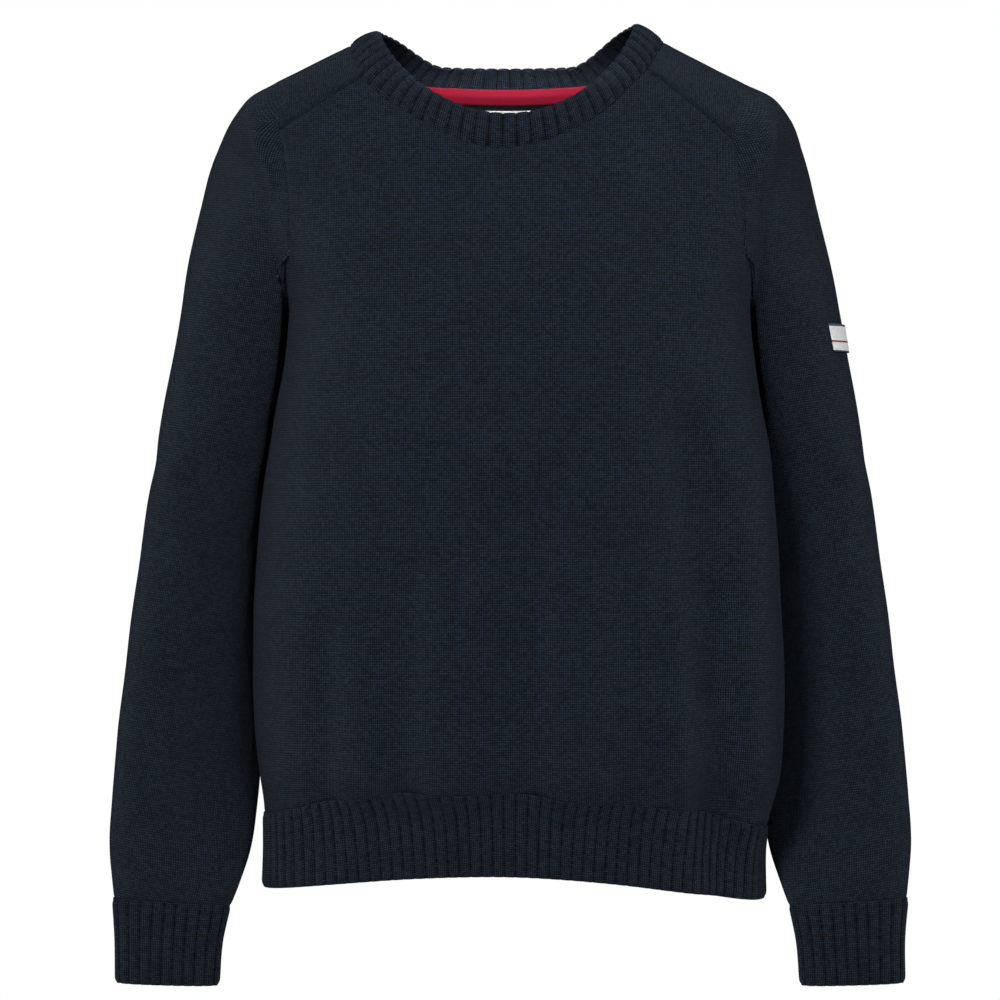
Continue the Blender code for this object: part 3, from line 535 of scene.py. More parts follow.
def neck_seam(face):
    """Angle and height along the neck seam of a panel, from the wearer's right to the left."""
    rows, steps = (FRONT_NECK, FRONT_NECK_STEPS) if face == "front" else (BACK_NECK, BACK_NECK_STEPS)
    line = smooth_line(np.asarray(rows), steps)
    return np.column_stack([angle_at(line[:, 0], line[:, 1], face), line[:, 1]])


def hem_levels(angle):
    """Heights of the hem band's seam and of its lower edge, at angles round the body."""
    across = torso_base(angle, np.full(np.shape(angle), HEM_MIDDLE_Z))[..., 0]
    return np.moveaxis(smooth_table(HEM, across), -1, 0)


def panel_domain(face):
    """Angle and height of a panel's points: rows from the hem seam up, columns from right to left."""
    shoulder = {side: saddle_seam(side, face) for side in SIDES}
    top = np.vstack([shoulder["right"][::-1][:-1], neck_seam(face), shoulder["left"][1:]])
    armhole = {side: armhole_seam(side) for side in SIDES}
    if face == "back":
        armhole = {side: mirrored_to_back(line) for side, line in armhole.items()}
    columns = len(top) - 1
    ends = (math.pi, 2 * math.pi) if face == "front" else (math.pi, 0.0)
    armhole["right"][-1, 0], armhole["left"][-1, 0] = ends
    fine = np.linspace(ends[0], ends[1], ROUND_SAMPLES)

    def level(z):
        at = even_steps(torso_base(fine, np.full(len(fine), z)), columns)
        return np.interp(at, np.arange(len(fine)), fine)

    rows = []
    for j in range(BODY_LENGTHS):
        share = j / BODY_LENGTHS
        angle = level(HEM_MIDDLE_Z + (UNDERARM_Z - HEM_MIDDLE_Z) * share)
        seam = hem_levels(angle)[0]
        rows.append(np.column_stack([angle, seam + (UNDERARM_Z - seam) * share]))
    bottom = np.column_stack([level(UNDERARM_Z), np.full(columns + 1, UNDERARM_Z)])
    across = np.linspace(0.0, 1.0, columns + 1)[:, None]
    for j in range(ARMHOLE_STEPS + 1):
        share = j / ARMHOLE_STEPS
        right, left = (armhole[side][ARMHOLE_STEPS - j] for side in ("right", "left"))
        corners = (1 - share) * ((1 - across) * bottom[0] + across * bottom[-1])
        corners = corners + share * ((1 - across) * top[0] + across * top[-1])
        rows.append((1 - share) * bottom + share * top + (1 - across) * right + across * left - corners)
    return np.asarray(rows)


def saddle_points(side):
    """Points of a saddle: rows from the neck to the armhole, columns from the front to the back."""
    front, back = (torso_base(*saddle_seam(side, face).T)[:, :2] for face in ("front", "back"))
    sign = SIDES[side]
    bulge = np.linspace(sign * NECK_RIDGE_X[side], sign * ARMHOLE_RIDGE_X[side], SADDLE_LENGTHS + 1)
    across = np.linspace(0.0, 1.0, 2 * SADDLE_HALF_STEPS + 1)
    rows = []
    for start, end, ridge in zip(front, back, bulge):
        line = start + (end - start) * across[:, None]
        ridge_share = start[1] / (start[1] - end[1])
        straight = start[0] + (end[0] - start[0]) * ridge_share
        line[:, 0] += (ridge - straight) * np.sin(math.pi * across)
        rows.append(np.column_stack([line, height_at(line[:, 0], line[:, 1])]))
    return np.asarray(rows)


def armhole_ring(side):
    """The sleeve's first ring: over the saddle's end, down the front to the underarm and up the back."""
    over = saddle_points(side)[-1]
    down = armhole_seam(side)
    front = torso_base(*down.T)
    back = torso_base(*mirrored_to_back(down).T)
    back[-1] = front[-1]
    middle = SADDLE_HALF_STEPS
    return np.vstack([over[middle::-1], front[1:], back[-2:0:-1], over[:middle:-1]])


def ring_turns():
    """The angle of each point round a ring: 0 at its outer end, a quarter turn in front, a half inside."""
    over = np.linspace(0.0, CORNER_TURN, SADDLE_HALF_STEPS + 1)
    front = np.concatenate([over, np.linspace(CORNER_TURN, math.pi, ARMHOLE_STEPS + 1)[1:]])
    return np.concatenate([front, 2 * math.pi - front[-2:0:-1]])


def kept_clear(points):
    """Points of a sleeve, moved out where they would touch the torso, by less beside the seam."""
    x, y, z = np.moveaxis(points, -1, 0)
    clearance = SLEEVE_CLEARANCE * np.minimum(1.0, (np.arange(len(points))[:, None] + 1.0) / CLEARING_RINGS)
    scale = np.maximum(1.0, 1 / section_level(x, y, z) + clearance / np.hypot(x, y))
    return points * np.stack([scale, scale, np.ones_like(scale)], axis=-1)


def led_from_seam(seam, rings):
    """A sleeve's rings, the first of them led straight from the armhole seam on their inner side."""
    turns = ring_turns()
    inner = smooth_step((math.pi - np.abs(turns - math.pi) - LED_FROM) / LED_OVER)[:, None]
    last = rings[len(LED_SHARES)]
    for number, share in enumerate(LED_SHARES):
        rings[number] += inner * (seam + (last - seam) * share - rings[number])
    return rings


def sleeve_rings(side, turns):
    """Points of every ring in a sleeve's table."""
    rings = []
    for outer_x, outer_y, outer_z, inner_x, inner_y, inner_z, depth, power in SLEEVE_TABLES[side]:
        outer = np.array([outer_x, outer_y, outer_z])
        inner = np.array([inner_x, inner_y, inner_z])
        half = (outer - inner) / 2
        forward = np.array([half[1], -math.hypot(half[0], half[2]), 0.0])
        forward = unit(forward - half * (forward @ half) / (half @ half))
        across = np.sign(np.cos(turns)) * np.abs(np.cos(turns)) ** (2 / power)
        along = np.sign(np.sin(turns)) * np.abs(np.sin(turns)) ** (2 / power)
        ring = (outer + inner) / 2 + across[:, None] * half + along[:, None] * forward * depth
        rings.append(ring * (SIDES[side], 1.0, 1.0))
    return np.asarray(rings)


def rings_between(rings, steps):
    """steps + 1 rings in place of these, evenly spaced along their outer ends."""
    along = travelled(rings[:, 0], 0)
    table = np.column_stack([along, rings.reshape(len(rings), -1)])
    return smooth_table(table, np.linspace(0.0, along[-1], steps + 1)).reshape(steps + 1, -1, 3)


def sleeve_points(side):
    """Rings of a sleeve from the armhole seam to the cuff's seam."""
    seam = armhole_ring(side)
    rings = led_from_seam(seam, sleeve_rings(side, ring_turns())[: CUFF_RING + 1])
    return rings_between(np.concatenate([seam[None], kept_clear(rings)]), SLEEVE_LENGTHS)


def cuff_points(side):
    """Rings of a cuff, from its seam to its edge."""
    fine = np.linspace(0.0, 2 * math.pi, CUFF_SAMPLES)
    middle = sleeve_rings(side, fine)[CUFF_RING + 1]
    turns = np.interp(even_steps(middle, POINTS_A_RIB * CUFF_RIBS)[:-1], np.arange(len(fine)), fine)
    return rings_between(sleeve_rings(side, turns)[CUFF_RING:], BAND_LENGTHS)


def outwards(points, closed_round):
    """Directions out of a grid's surface, where its columns run forwards round the outside."""
    if closed_round:
        around = np.roll(points, -1, axis=1) - np.roll(points, 1, axis=1)
    else:
        around = np.gradient(points, axis=1)
    return unit(np.cross(around, np.gradient(points, axis=0)))


def facing_torso(points):
    """The direction out of the torso at points on its surface."""
    return torso_out(np.arctan2(points[..., 1], points[..., 0]), points[..., 2])


def between(grid, rows, columns):
    """Points of a grid at rows and columns that needn't be whole numbers."""
    rows, columns = np.meshgrid(rows, columns, indexing="ij")
    low_row = np.clip(np.floor(rows).astype(int), 0, grid.shape[0] - 2)
    low_column = np.clip(np.floor(columns).astype(int), 0, grid.shape[1] - 2)
    up, on = (rows - low_row)[..., None], (columns - low_column)[..., None]
    lower = grid[low_row, low_column] * (1 - on) + grid[low_row, low_column + 1] * on
    upper = grid[low_row + 1, low_column] * (1 - on) + grid[low_row + 1, low_column + 1] * on
    return lower * (1 - up) + upper * up


def fine_ends(steps):
    """Positions along a grid, closer together near its two ends, where the cloth rolls into a seam."""
    near = np.array(EDGE_POSITIONS)
    return np.concatenate([near, np.arange(2, steps - 1), steps - near[::-1]])


def rolled(points, out, distance, depth):
    """Points pushed in near an edge, as knitting rolls where it is sewn or ends."""
    return points - out * (depth * np.exp(-((distance / ROLL_WIDTH) ** 2)))[..., None]


def crease_depth(x, y, creases):
    """How far creases push cloth in. Each is a line between two places, a half-width and a depth."""
    depth = np.zeros(x.shape)
    for x0, y0, x1, y1, half_width, crease in creases:
        share = ((x - x0) * (x1 - x0) + (y - y0) * (y1 - y0)) / ((x1 - x0) ** 2 + (y1 - y0) ** 2)
        share = np.clip(share, 0.0, 1.0)
        away = np.hypot(x - x0 - share * (x1 - x0), y - y0 - share * (y1 - y0))
        depth = depth + crease * np.exp(-((away / half_width) ** 2))
    return depth


def unevenness(u, v):
    """How far the slow waves push the cloth in."""
    waves = (share * np.sin(across * u + along * v + start) for across, along, start, share in WAVES)
    return WAVE_HEIGHT * sum(waves)


def knit_run(angle, z, centre):
    """Distance round the body from the centre line, which counts the wales."""
    share = np.linspace(0.0, 1.0, KNIT_SAMPLES)
    at = centre + (angle - centre)[..., None] * share
    line = torso_base(at, np.broadcast_to(z[..., None], at.shape))
    return np.sign(angle - centre) * np.linalg.norm(np.diff(line, axis=-2), axis=-1).sum(axis=-1)


def knit_height(z, centre):
    """Distance along the body's centre line, which counts the courses."""
    levels = np.linspace(KNIT_FOOT_Z, SHOULDER_LEVELS[1], LEVEL_SAMPLES)
    return np.interp(z, levels, travelled(torso_base(np.full(LEVEL_SAMPLES, centre), levels), 0))


def evened(domain):
    """The same angles and heights, spread near the neck and shoulders so that no columns cross."""
    high, wide = domain.shape[:2]
    row, column = np.arange(1, high - 1)[:, None], np.arange(1, wide - 1)
    inset = np.minimum(column, wide - 1 - column)
    share = smooth_step((row - high + EVENED_ROWS) / EVENED_FADE)
    share = share * smooth_step((inset - EVENED_INSET) / EVENED_FADE)
    for _ in range(EVENINGS):
        spread = (domain[:-2, 1:-1] + domain[2:, 1:-1] + domain[1:-1, :-2] + domain[1:-1, 2:]) / 4
        domain[1:-1, 1:-1] += (spread - domain[1:-1, 1:-1]) * share[..., None]
    return domain


def body_panel(face):
    """The front or back of the body: points, directions out, knit lengths and places along the armholes."""
    domain = evened(panel_domain(face)) if face == "back" else panel_domain(face)
    domain = between(domain, fine_ends(len(domain) - 1), fine_ends(domain.shape[1] - 1))
    angle, z = domain[..., 0], domain[..., 1]
    centre = 1.5 * math.pi if face == "front" else 0.5 * math.pi
    lengths = np.stack([knit_run(angle, z, centre), knit_height(z, centre)], axis=-1)
    points, out = torso(angle, z), torso_out(angle, z)
    up, on = travelled(points, 0), travelled(points, 1)
    to_side = np.minimum(on, on[:, -1:] - on)
    to_edge = np.minimum(to_side, np.minimum(up, up[-1:] - up))
    depth = crease_depth(points[..., 0], points[..., 2], CREASES[face])
    depth = depth + unevenness(lengths[..., 0], lengths[..., 1])
    points = rolled(points - out * depth[..., None], out, to_edge, SEAM_ROLL)
    armhole = np.where(z > UNDERARM_Z + MARKS_ABOVE_UNDERARM, to_side, NO_MARK)
    return points, out, lengths, np.stack([armhole, up, np.zeros_like(up)], axis=-1)


def opened(grid):
    """A ring's grid with its first column again at the end, so that it can be cut open there."""
    return np.concatenate([grid, grid[:, :1]], axis=1)


def at_levels(levels, known, values):
    """Values at levels down the arm, from those known at some of them."""
    return np.stack([np.interp(levels, known, values[..., c]) for c in range(values.shape[-1])], axis=-1)


def sleeve_knit(side, rings, half):
    """Lengths across and along the knitting, which runs down the arm. half is the outermost column."""
    arm = np.array([SIDES[side] * math.sin(ARM_TILT), 0.0, -math.cos(ARM_TILT)])
    level = rings @ arm
    lie = rings - level[..., None] * arm
    across = travelled(lie, 1)
    run = across[:, half : half + 1] - across
    outermost = at_levels(level, level[:, half], lie[:, half])
    cap = CAP_ARC * np.linalg.norm(lie - outermost, axis=-1) * np.sign(half - np.arange(rings.shape[1]))
    below = level - level[0, half]
    plain = smooth_step((below - CAP_KNIT[0]) / (CAP_KNIT[1] - CAP_KNIT[0]))
    return np.stack([cap + (run - cap) * plain, below], axis=-1)


def sleeve_patches(side):
    """A sleeve and its saddle, each as points, directions out, knit lengths and places along the seam."""
    rings = sleeve_points(side)
    out = outwards(rings, True) * SIDES[side]
    own = smooth_step((FACING_TOP - rings[0, :, 2:]) / FACING_FADE)
    out[0] = unit(own * out[0] + (1 - own) * facing_torso(rings[0]))
    half = rings.shape[1] // 2
    rings, out = opened(np.roll(rings, half, axis=1)), opened(np.roll(out, half, axis=1))
    rows, columns = fine_ends(SLEEVE_LENGTHS), np.arange(2 * half + 1)
    rings, out = between(rings, rows, columns), unit(between(out, rows, columns))
    round_it, down = travelled(rings, 1), travelled(rings, 0)
    u = round_it[:, half : half + 1] - round_it
    v = np.broadcast_to(down[:, half : half + 1], u.shape)
    corners = abs(u[0, half + SADDLE_HALF_STEPS]), abs(u[0, half - SADDLE_HALF_STEPS])
    beyond = np.maximum(0.0, np.where(u < 0, corners[0], corners[1]) - np.abs(u))
    to_edge = np.minimum(np.hypot(down, beyond), down[-1:] - down)
    depth = crease_depth(v, u, SLEEVE_FOLDS[side]) + unevenness(u + SLEEVE_WAVES_AT, v)
    depth = depth * smooth_step(down / SLEEVE_FOLD_FADE)
    sleeve = rolled(rings - out * depth[..., None], out, to_edge, SEAM_ROLL)
    beside = np.where(beyond > MARKS_OFF_SADDLE, NO_MARK, down)
    marks = np.stack([beside, round_it, np.zeros_like(down)], axis=-1)
    return [(sleeve, out, sleeve_knit(side, rings, half), marks), saddle_patch(side)]


def saddle_patch(side):
    """The saddle that a sleeve ends in, as points, directions out, knit lengths and no marks."""
    strap = saddle_points(side)[:, ::-1]
    strap_out = facing_torso(strap)
    across = travelled(strap, 1)
    middle = across[:, SADDLE_HALF_STEPS : SADDLE_HALF_STEPS + 1]
    along = travelled(strap, 0)
    to_side = np.minimum(across, across[:, -1:] - across)
    edge = np.minimum(to_side, along)
    strap_lengths = np.stack([middle - across, along - along[-1:]], axis=-1)
    return rolled(strap, strap_out, edge, SEAM_ROLL), strap_out, strap_lengths, np.full_like(strap, NO_MARK)


def band(points, out, wall):
    """A band of broad ribs with narrow furrows on both its sides, as patches that close it."""
    up = travelled(points, 0)
    crest = np.abs(np.sin(math.pi * np.arange(points.shape[1]) / POINTS_A_RIB)) ** RIB_ROUNDING
    crest = np.broadcast_to(crest, up.shape)
    outer = points + out * (RIB_HEIGHT * crest)[..., None]
    outer = rolled(outer, out, np.maximum(up - TUCK, 0.0), SEAM_ROLL)
    outer = rolled(outer, out, up[-1:] - up, EDGE_ROLL)
    inner = points - out * (wall - INNER_RIB_HEIGHT * (1 - crest))[..., None]
    round_it = np.concatenate([outer, inner[::-1], outer[:1]])
    facing = np.concatenate([out, -out[::-1], out[:1]])
    wales = (np.arange(points.shape[1]) / POINTS_A_RIB * WALES_A_RIB + 0.5) * WALE
    # Painted shade for the furrows between ribs, carried in the third part of the marks
    middle = np.broadcast_to(wales, round_it.shape[:2])
    painted_furrow_shade = np.broadcast_to(1 - crest[0], round_it.shape[:2])
    lengths = np.stack([middle, travelled(round_it, 0)], axis=-1)
    marks = np.stack([np.ones_like(painted_furrow_shade), np.ones_like(painted_furrow_shade), painted_furrow_shade], axis=-1)
    patches = [(round_it, facing, lengths, marks)]
    if np.linalg.norm(points[0, 0] - points[0, -1]) > wall:
        for end, beside in ((0, 1), (-1, -2)):
            side = np.stack([outer[:, end], inner[:, end]], axis=1)
            away = np.repeat(unit(points[:, end] - points[:, beside])[:, None], 2, axis=1)
            patches.append((side, away, lengths[: len(side), [end, end]], marks[: len(side), [end, end]]))
    return patches


def tucked():
    """Positions up a band, with the first of them just inside the piece that it is sewn to."""
    return np.concatenate([[-TUCK_SHARE * BAND_LENGTHS], fine_ends(BAND_LENGTHS)])


def hem_band(face):
    """Half of the hem's band."""
    start, end = (math.pi, 2 * math.pi) if face == "front" else (math.pi, 0.0)
    fine = np.linspace(start, end, HEM_SAMPLES)
    at = even_steps(torso_base(fine, np.full(len(fine), HEM_MIDDLE_Z)), POINTS_A_RIB * HEM_RIBS_A_SIDE)
    angle = np.interp(at, np.arange(len(fine)), fine)
    seam, edge = hem_levels(angle)
    rows = seam - SEAM_GAP - (seam - SEAM_GAP - edge) * (tucked() / BAND_LENGTHS)[:, None]
    angle = np.broadcast_to(angle, rows.shape)
    return band(torso(angle, rows), torso_out(angle, rows), WALL)


def cuff_band(side):
    """The band of a cuff."""
    rings = cuff_points(side)
    out = opened(outwards(rings, True) * SIDES[side])
    rings = opened(rings)
    rows, columns = tucked(), np.arange(rings.shape[1])
    return band(between(rings, rows, columns), unit(between(out, rows, columns)), WALL)


def neck_loop():
    """The neck seam all the way round, from the wearer's right across the front."""
    front, back = (torso_base(*neck_seam(face).T) for face in ("front", "back"))
    right, left = (saddle_points(side)[0] for side in ("right", "left"))
    return np.vstack([front[:-1], left[:-1], back[:0:-1], right[:0:-1]])


def collar_surface():
    """The collar, from the neck seam up to its open edge, and its directions out."""
    loop = neck_loop()
    closed = np.vstack([loop, loop[:1]])
    seam = picked(closed, even_steps(closed, POINTS_A_RIB * COLLAR_RIBS))[:-1]
    centre = np.array(COLLAR_EDGE_CENTRE)
    half = np.array([COLLAR_EDGE_HALF_WIDTH, COLLAR_EDGE_HALF_DEPTH])
    across, along = unit((seam[:, :2] - centre) / half).T
    level = COLLAR_EDGE_Z["right"] + (COLLAR_EDGE_Z["left"] - COLLAR_EDGE_Z["right"]) * (1 + across) / 2
    lowest = np.where(along < 0, COLLAR_EDGE_Z["front"], COLLAR_EDGE_Z["back"])
    deep, broad = np.abs(along) ** COLLAR_DROP_POWER, smooth_step((1 - np.abs(across)) / COLLAR_BACK_RISE)
    height = level - (level - lowest) * np.where(along < 0, deep, broad)
    edge = np.column_stack([centre + np.column_stack([across, along]) * half, height])
    share = (tucked() / BAND_LENGTHS)[:, None, None]
    flat = seam + (edge - seam) * share
    points = flat + outwards(flat, True) * COLLAR_CROWN * np.sin(math.pi * np.maximum(share, 0.0))
    out = outwards(points, True)
    out[0] = facing_torso(seam)
    return opened(points), opened(out)


def piece(name, patches, wall, look, node):
    """A piece of cloth from patches of points, welded where they meet. It replaces a node of the solids.

    A wall thickens it inwards. Without one, the patches close it.
    """
    shape = bmesh.new()
    cloth = shape.loops.layers.uv.new("cloth")
    # The seam layer holds where the marks fall, and in its third part the painted shade of the rib furrows
    seam = shape.verts.layers.float_vector.new("seam")
    for points, out, lengths, marks in patches:
        rows, columns = points.shape[0] - 1, points.shape[1] - 1
        made = bmesh.ops.create_grid(shape, x_segments=columns, y_segments=rows, size=0.5)["verts"]
        place = {v: (round((v.co.y + 0.5) * rows), round((v.co.x + 0.5) * columns)) for v in made}
        faces = list({face for vert in made for face in vert.link_faces})
        for face in faces:
            for loop in face.loops:
                loop[cloth].uv = lengths[place[loop.vert]]
        for vert, at in place.items():
            vert.co = points[at]
            vert[seam] = marks[at]
        shape.normal_update()
        facing = sum(face.normal.dot(out[place[face.verts[0]]]) for face in faces[::7])
        if facing < 0:
            bmesh.ops.reverse_faces(shape, faces=faces)
    bmesh.ops.remove_doubles(shape, verts=shape.verts[:], dist=WELD)
    mesh = bpy.data.meshes.new(name)
    shape.to_mesh(mesh)
    shape.free()
    mesh.shade_smooth()
    mesh.materials.append(look)
    made = bpy.data.objects.new(name, mesh)
    bpy.context.scene.collection.objects.link(made)
    if wall:
        shell = made.modifiers.new("wall", "SOLIDIFY")
        shell.thickness, shell.offset = wall, -1.0
    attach(made, "root")
    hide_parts(node)
    return made


def trim(name, points, out, look, node):
    """A thin strip of woven cloth that faces along out."""
    up, on = travelled(points, 0), travelled(points, 1)
    patch = (points, out, np.stack([on, up], axis=-1), np.full_like(points, NO_MARK))
    return piece(name, [patch], TRIM_WALL, look, node)


def row_at(grid, row, x):
    """Points of a grid's row at these places across the back of the neck."""
    line = between(grid, [row], np.arange(grid.shape[1]))[0]
    line = line[line[:, 1] > 0.0]
    line = line[np.argsort(line[:, 0])]
    return np.column_stack([np.interp(x, line[:, 0], line[:, c]) for c in range(3)])


def neck_tape(look):
    """The tape inside the back of the neck: on the panel's edge, over the seam and on the collar's foot."""
    domain = panel_domain("back")
    panel, collar = torso(domain[..., 0], domain[..., 1]), collar_surface()[0]
    top, high = len(panel) - 1, TAPE_TOP * (len(collar) - 1)
    x = np.linspace(TAPE_X[0], TAPE_X[1], TAPE_COLUMNS + 1)
    foot = row_at(panel, top - TAPE_FOOT, x)
    points = [foot + (row_at(panel, top, x) - foot) * share for share in (0.0, 0.25, 0.5, 0.75)]
    points = np.stack(points + [row_at(collar, high * share, x) for share in np.linspace(0.0, 1.0, 9)])
    out = outwards(points, False)
    points = points + out * (COLLAR_WALL + TRIM_LIFT + TRIM_WALL)
    return trim("neck_tape_cloth", points, out, look, "neck_tape")


def neck_label(look):
    """The blank label that hangs under the tape."""
    domain = panel_domain("back")
    angle, z = domain[..., 0], domain[..., 1]
    rows = np.linspace(len(angle) - 1 - LABEL_ROWS[1], len(angle) - 1 - LABEL_ROWS[0], 17)
    middle = SADDLE_LENGTHS + BACK_NECK_STEPS / 2
    columns = np.linspace(middle - LABEL_HALF_COLUMNS, middle + LABEL_HALF_COLUMNS, 25)
    lie, facing = between(torso(angle, z), rows, columns), unit(between(torso_out(angle, z), rows, columns))
    lie = lie - facing * (WALL + TRIM_LIFT + TRIM_WALL)
    return trim("neck_label_cloth", lie, -facing, look, "neck_label")


def badge(look):
    """The blank badge on the outer edge of the wearer's left sleeve, in level rows."""
    rings = sleeve_points("left")
    out = outwards(rings, True)
    roll = rings.shape[1] // 4
    rings, out = np.roll(rings, roll, axis=1), np.roll(out, roll, axis=1)
    levels = np.linspace(BADGE_Z[1], BADGE_Z[0], 13)
    every = np.arange(len(rings))
    points, facing = [], []
    for column in np.linspace(BADGE_COLUMNS[0], BADGE_COLUMNS[1], 41) + roll:
        line, normals = between(rings, every, [column])[:, 0], between(out, every, [column])[:, 0]
        at = np.interp(-levels, -line[:, 2], every)
        points.append(picked(line, at))
        facing.append(picked(normals, at))
    points, facing = np.swapaxes(points, 0, 1), unit(np.swapaxes(facing, 0, 1))
    points = points + facing * (TRIM_WALL + TRIM_LIFT)
    return trim("sleeve_badge_cloth", points, facing, look, "sleeve_badge")


class Nodes:
    """Short ways to build a material's nodes."""

    def __init__(self, name, roughness, specular, sheen=0.0, sheen_roughness=0.5):
        self.material = bpy.data.materials.new(name)
        self.material.use_nodes = True
        self.tree = self.material.node_tree
        self.shader = self.tree.nodes["Principled BSDF"]
        self.shader.inputs["Roughness"].default_value = roughness
        self.shader.inputs["Specular IOR Level"].default_value = specular
        self.shader.inputs["Sheen Weight"].default_value = sheen
        self.shader.inputs["Sheen Roughness"].default_value = sheen_roughness

    def put(self, kind, inputs=(), **settings):
        """A node with its settings and with its inputs joined or set."""
        node = self.tree.nodes.new(kind)
        for key, value in settings.items():
            setattr(node, key, value)
        for key, value in dict(inputs).items():
            if isinstance(value, bpy.types.NodeSocket):
                self.tree.links.new(value, node.inputs[key])
            else:
                node.inputs[key].default_value = value
        return node

    def maths(self, operation, first, second=0.0, third=0.0):
        """The result of a Math node."""
        return self.put("ShaderNodeMath", {0: first, 1: second, 2: third}, operation=operation).outputs[0]

    def cloth(self):
        """The piece's own lengths in metres, across and along the knitting."""
        uv = self.put("ShaderNodeUVMap", uv_map="cloth").outputs[0]
        parts = self.put("ShaderNodeSeparateXYZ", {0: uv})
        return uv, parts.outputs[0], parts.outputs[1]

    def noise(self, vector, scale, detail=2.0, roughness=0.5):
        """Soft noise from 0 to 1."""
        inputs = {"Vector": vector, "Scale": scale, "Detail": detail, "Roughness": roughness}
        return self.put("ShaderNodeTexNoise", inputs).outputs[0]

    def ramp(self, value, low, high, dark, light):
        """A colour between dark and light as the value goes from low to high."""
        share = self.put("ShaderNodeMapRange", {0: value, 1: low, 2: high}, clamp=True).outputs[0]
        return self.mixed(share, dark, light)

    def mixed(self, share, first, second, blend="MIX"):
        """A mix of two colours."""
        node = self.put("ShaderNodeMix", data_type="RGBA", blend_type=blend)
        for socket, value in ((node.inputs[0], share), (node.inputs[6], first), (node.inputs[7], second)):
            if isinstance(value, bpy.types.NodeSocket):
                self.tree.links.new(value, socket)
            else:
                socket.default_value = (*value, 1.0) if hasattr(value, "__len__") else value
        return node.outputs[2]

    def bump(self, height, distance, strength):
        """Bump from a height of 0 to 1."""
        node = self.put("ShaderNodeBump", {"Height": height, "Distance": distance, "Strength": strength})
        self.tree.links.new(node.outputs[0], self.shader.inputs["Normal"])

    def colour(self, socket):
        """The colour of the cloth."""
        self.tree.links.new(socket, self.shader.inputs["Base Color"])


def stitches(nodes, u, v):
    """Height of plain knitting, with two slanting legs to a stitch, and each stitch's own number."""
    wales = nodes.maths("DIVIDE", u, WALE)
    wale = nodes.maths("FRACT", wales)
    side = nodes.maths("ABSOLUTE", nodes.maths("SUBTRACT", wale, 0.5))
    leg = nodes.maths("SINE", nodes.maths("MULTIPLY", side, 2 * math.pi))
    slant = nodes.maths("ADD", nodes.maths("DIVIDE", v, COURSE), nodes.maths("MULTIPLY", side, LEG_SLANT))
    course = nodes.maths("SINE", nodes.maths("MULTIPLY", nodes.maths("FRACT", slant), math.pi))
    number = nodes.maths("MULTIPLY", nodes.maths("FLOOR", wales), WALE_STEP)
    number = nodes.maths("ADD", nodes.maths("FLOOR", slant), number)
    odd = nodes.put("ShaderNodeTexWhiteNoise", {"W": number}, noise_dimensions="1D").outputs[0]
    return nodes.maths("MULTIPLY", leg, course), odd


def knit(name, marks=False):
    """Dark, faintly mottled cotton knitting with a soft bloom, with painted shade in the gaps between
    stitches and, on the bands, in the rib furrows.
    """
    nodes = Nodes(name, roughness=0.9, specular=0.06, sheen=0.05)
    nodes.shader.inputs["Sheen Tint"].default_value = (*BLOOM, 1.0)
    uv, u, v = nodes.cloth()
    height, odd = stitches(nodes, u, v)
    place = nodes.put("ShaderNodeAttribute", attribute_name="seam").outputs["Vector"]
    parts = nodes.put("ShaderNodeSeparateXYZ", {0: place})
    # Painted shade: the yarn's colour darkens where the stitch height is low, in the gaps between legs and
    # courses
    yarn_with_gap_shade = nodes.ramp(height, 0.05, 0.95, YARN_GAP_SHADE, YARN_LIGHT)
    grain = nodes.noise(uv, YARN_GRAIN, roughness=0.6)
    blend = nodes.maths("MULTIPLY_ADD", grain, 0.6, nodes.maths("MULTIPLY", odd, 0.5))
    blend = nodes.maths("MULTIPLY_ADD", nodes.noise(uv, PATCH_GRAIN), 0.3, blend)
    # Painted shade that darkens the rib furrows; none on the marked knitting
    painted_furrow_shade = nodes.maths("MULTIPLY", parts.outputs[2], FURROW_SHADE if not marks else 0.0)
    blend = nodes.maths("SUBTRACT", blend, painted_furrow_shade)
    nodes.colour(nodes.mixed(1.0, yarn_with_gap_shade, nodes.ramp(blend, 0.10, 1.30, *MOTTLE_AND_FURROW_SHADE), "MULTIPLY"))
    height = nodes.maths("MULTIPLY_ADD", nodes.noise(uv, FUZZ_GRAIN, roughness=0.6), 0.35, height)
    if marks:
        across = nodes.maths("DIVIDE", nodes.maths("SUBTRACT", parts.outputs[0], MARK_INSET), MARK_SIZE)
        run = nodes.maths("FRACT", nodes.maths("DIVIDE", parts.outputs[1], MARK_PITCH))
        along = nodes.maths("DIVIDE", nodes.maths("SUBTRACT", run, 0.5), MARK_SIZE / MARK_PITCH)
        reach = nodes.maths("ADD", nodes.maths("POWER", across, 2.0), nodes.maths("POWER", along, 2.0))
        dip = nodes.maths("MAXIMUM", nodes.maths("SUBTRACT", 1.0, reach), 0.0)
        height = nodes.maths("SUBTRACT", height, nodes.maths("MULTIPLY", dip, MARK_DEPTH))
    nodes.bump(height, STITCH_RELIEF, 0.9)
    return nodes.material


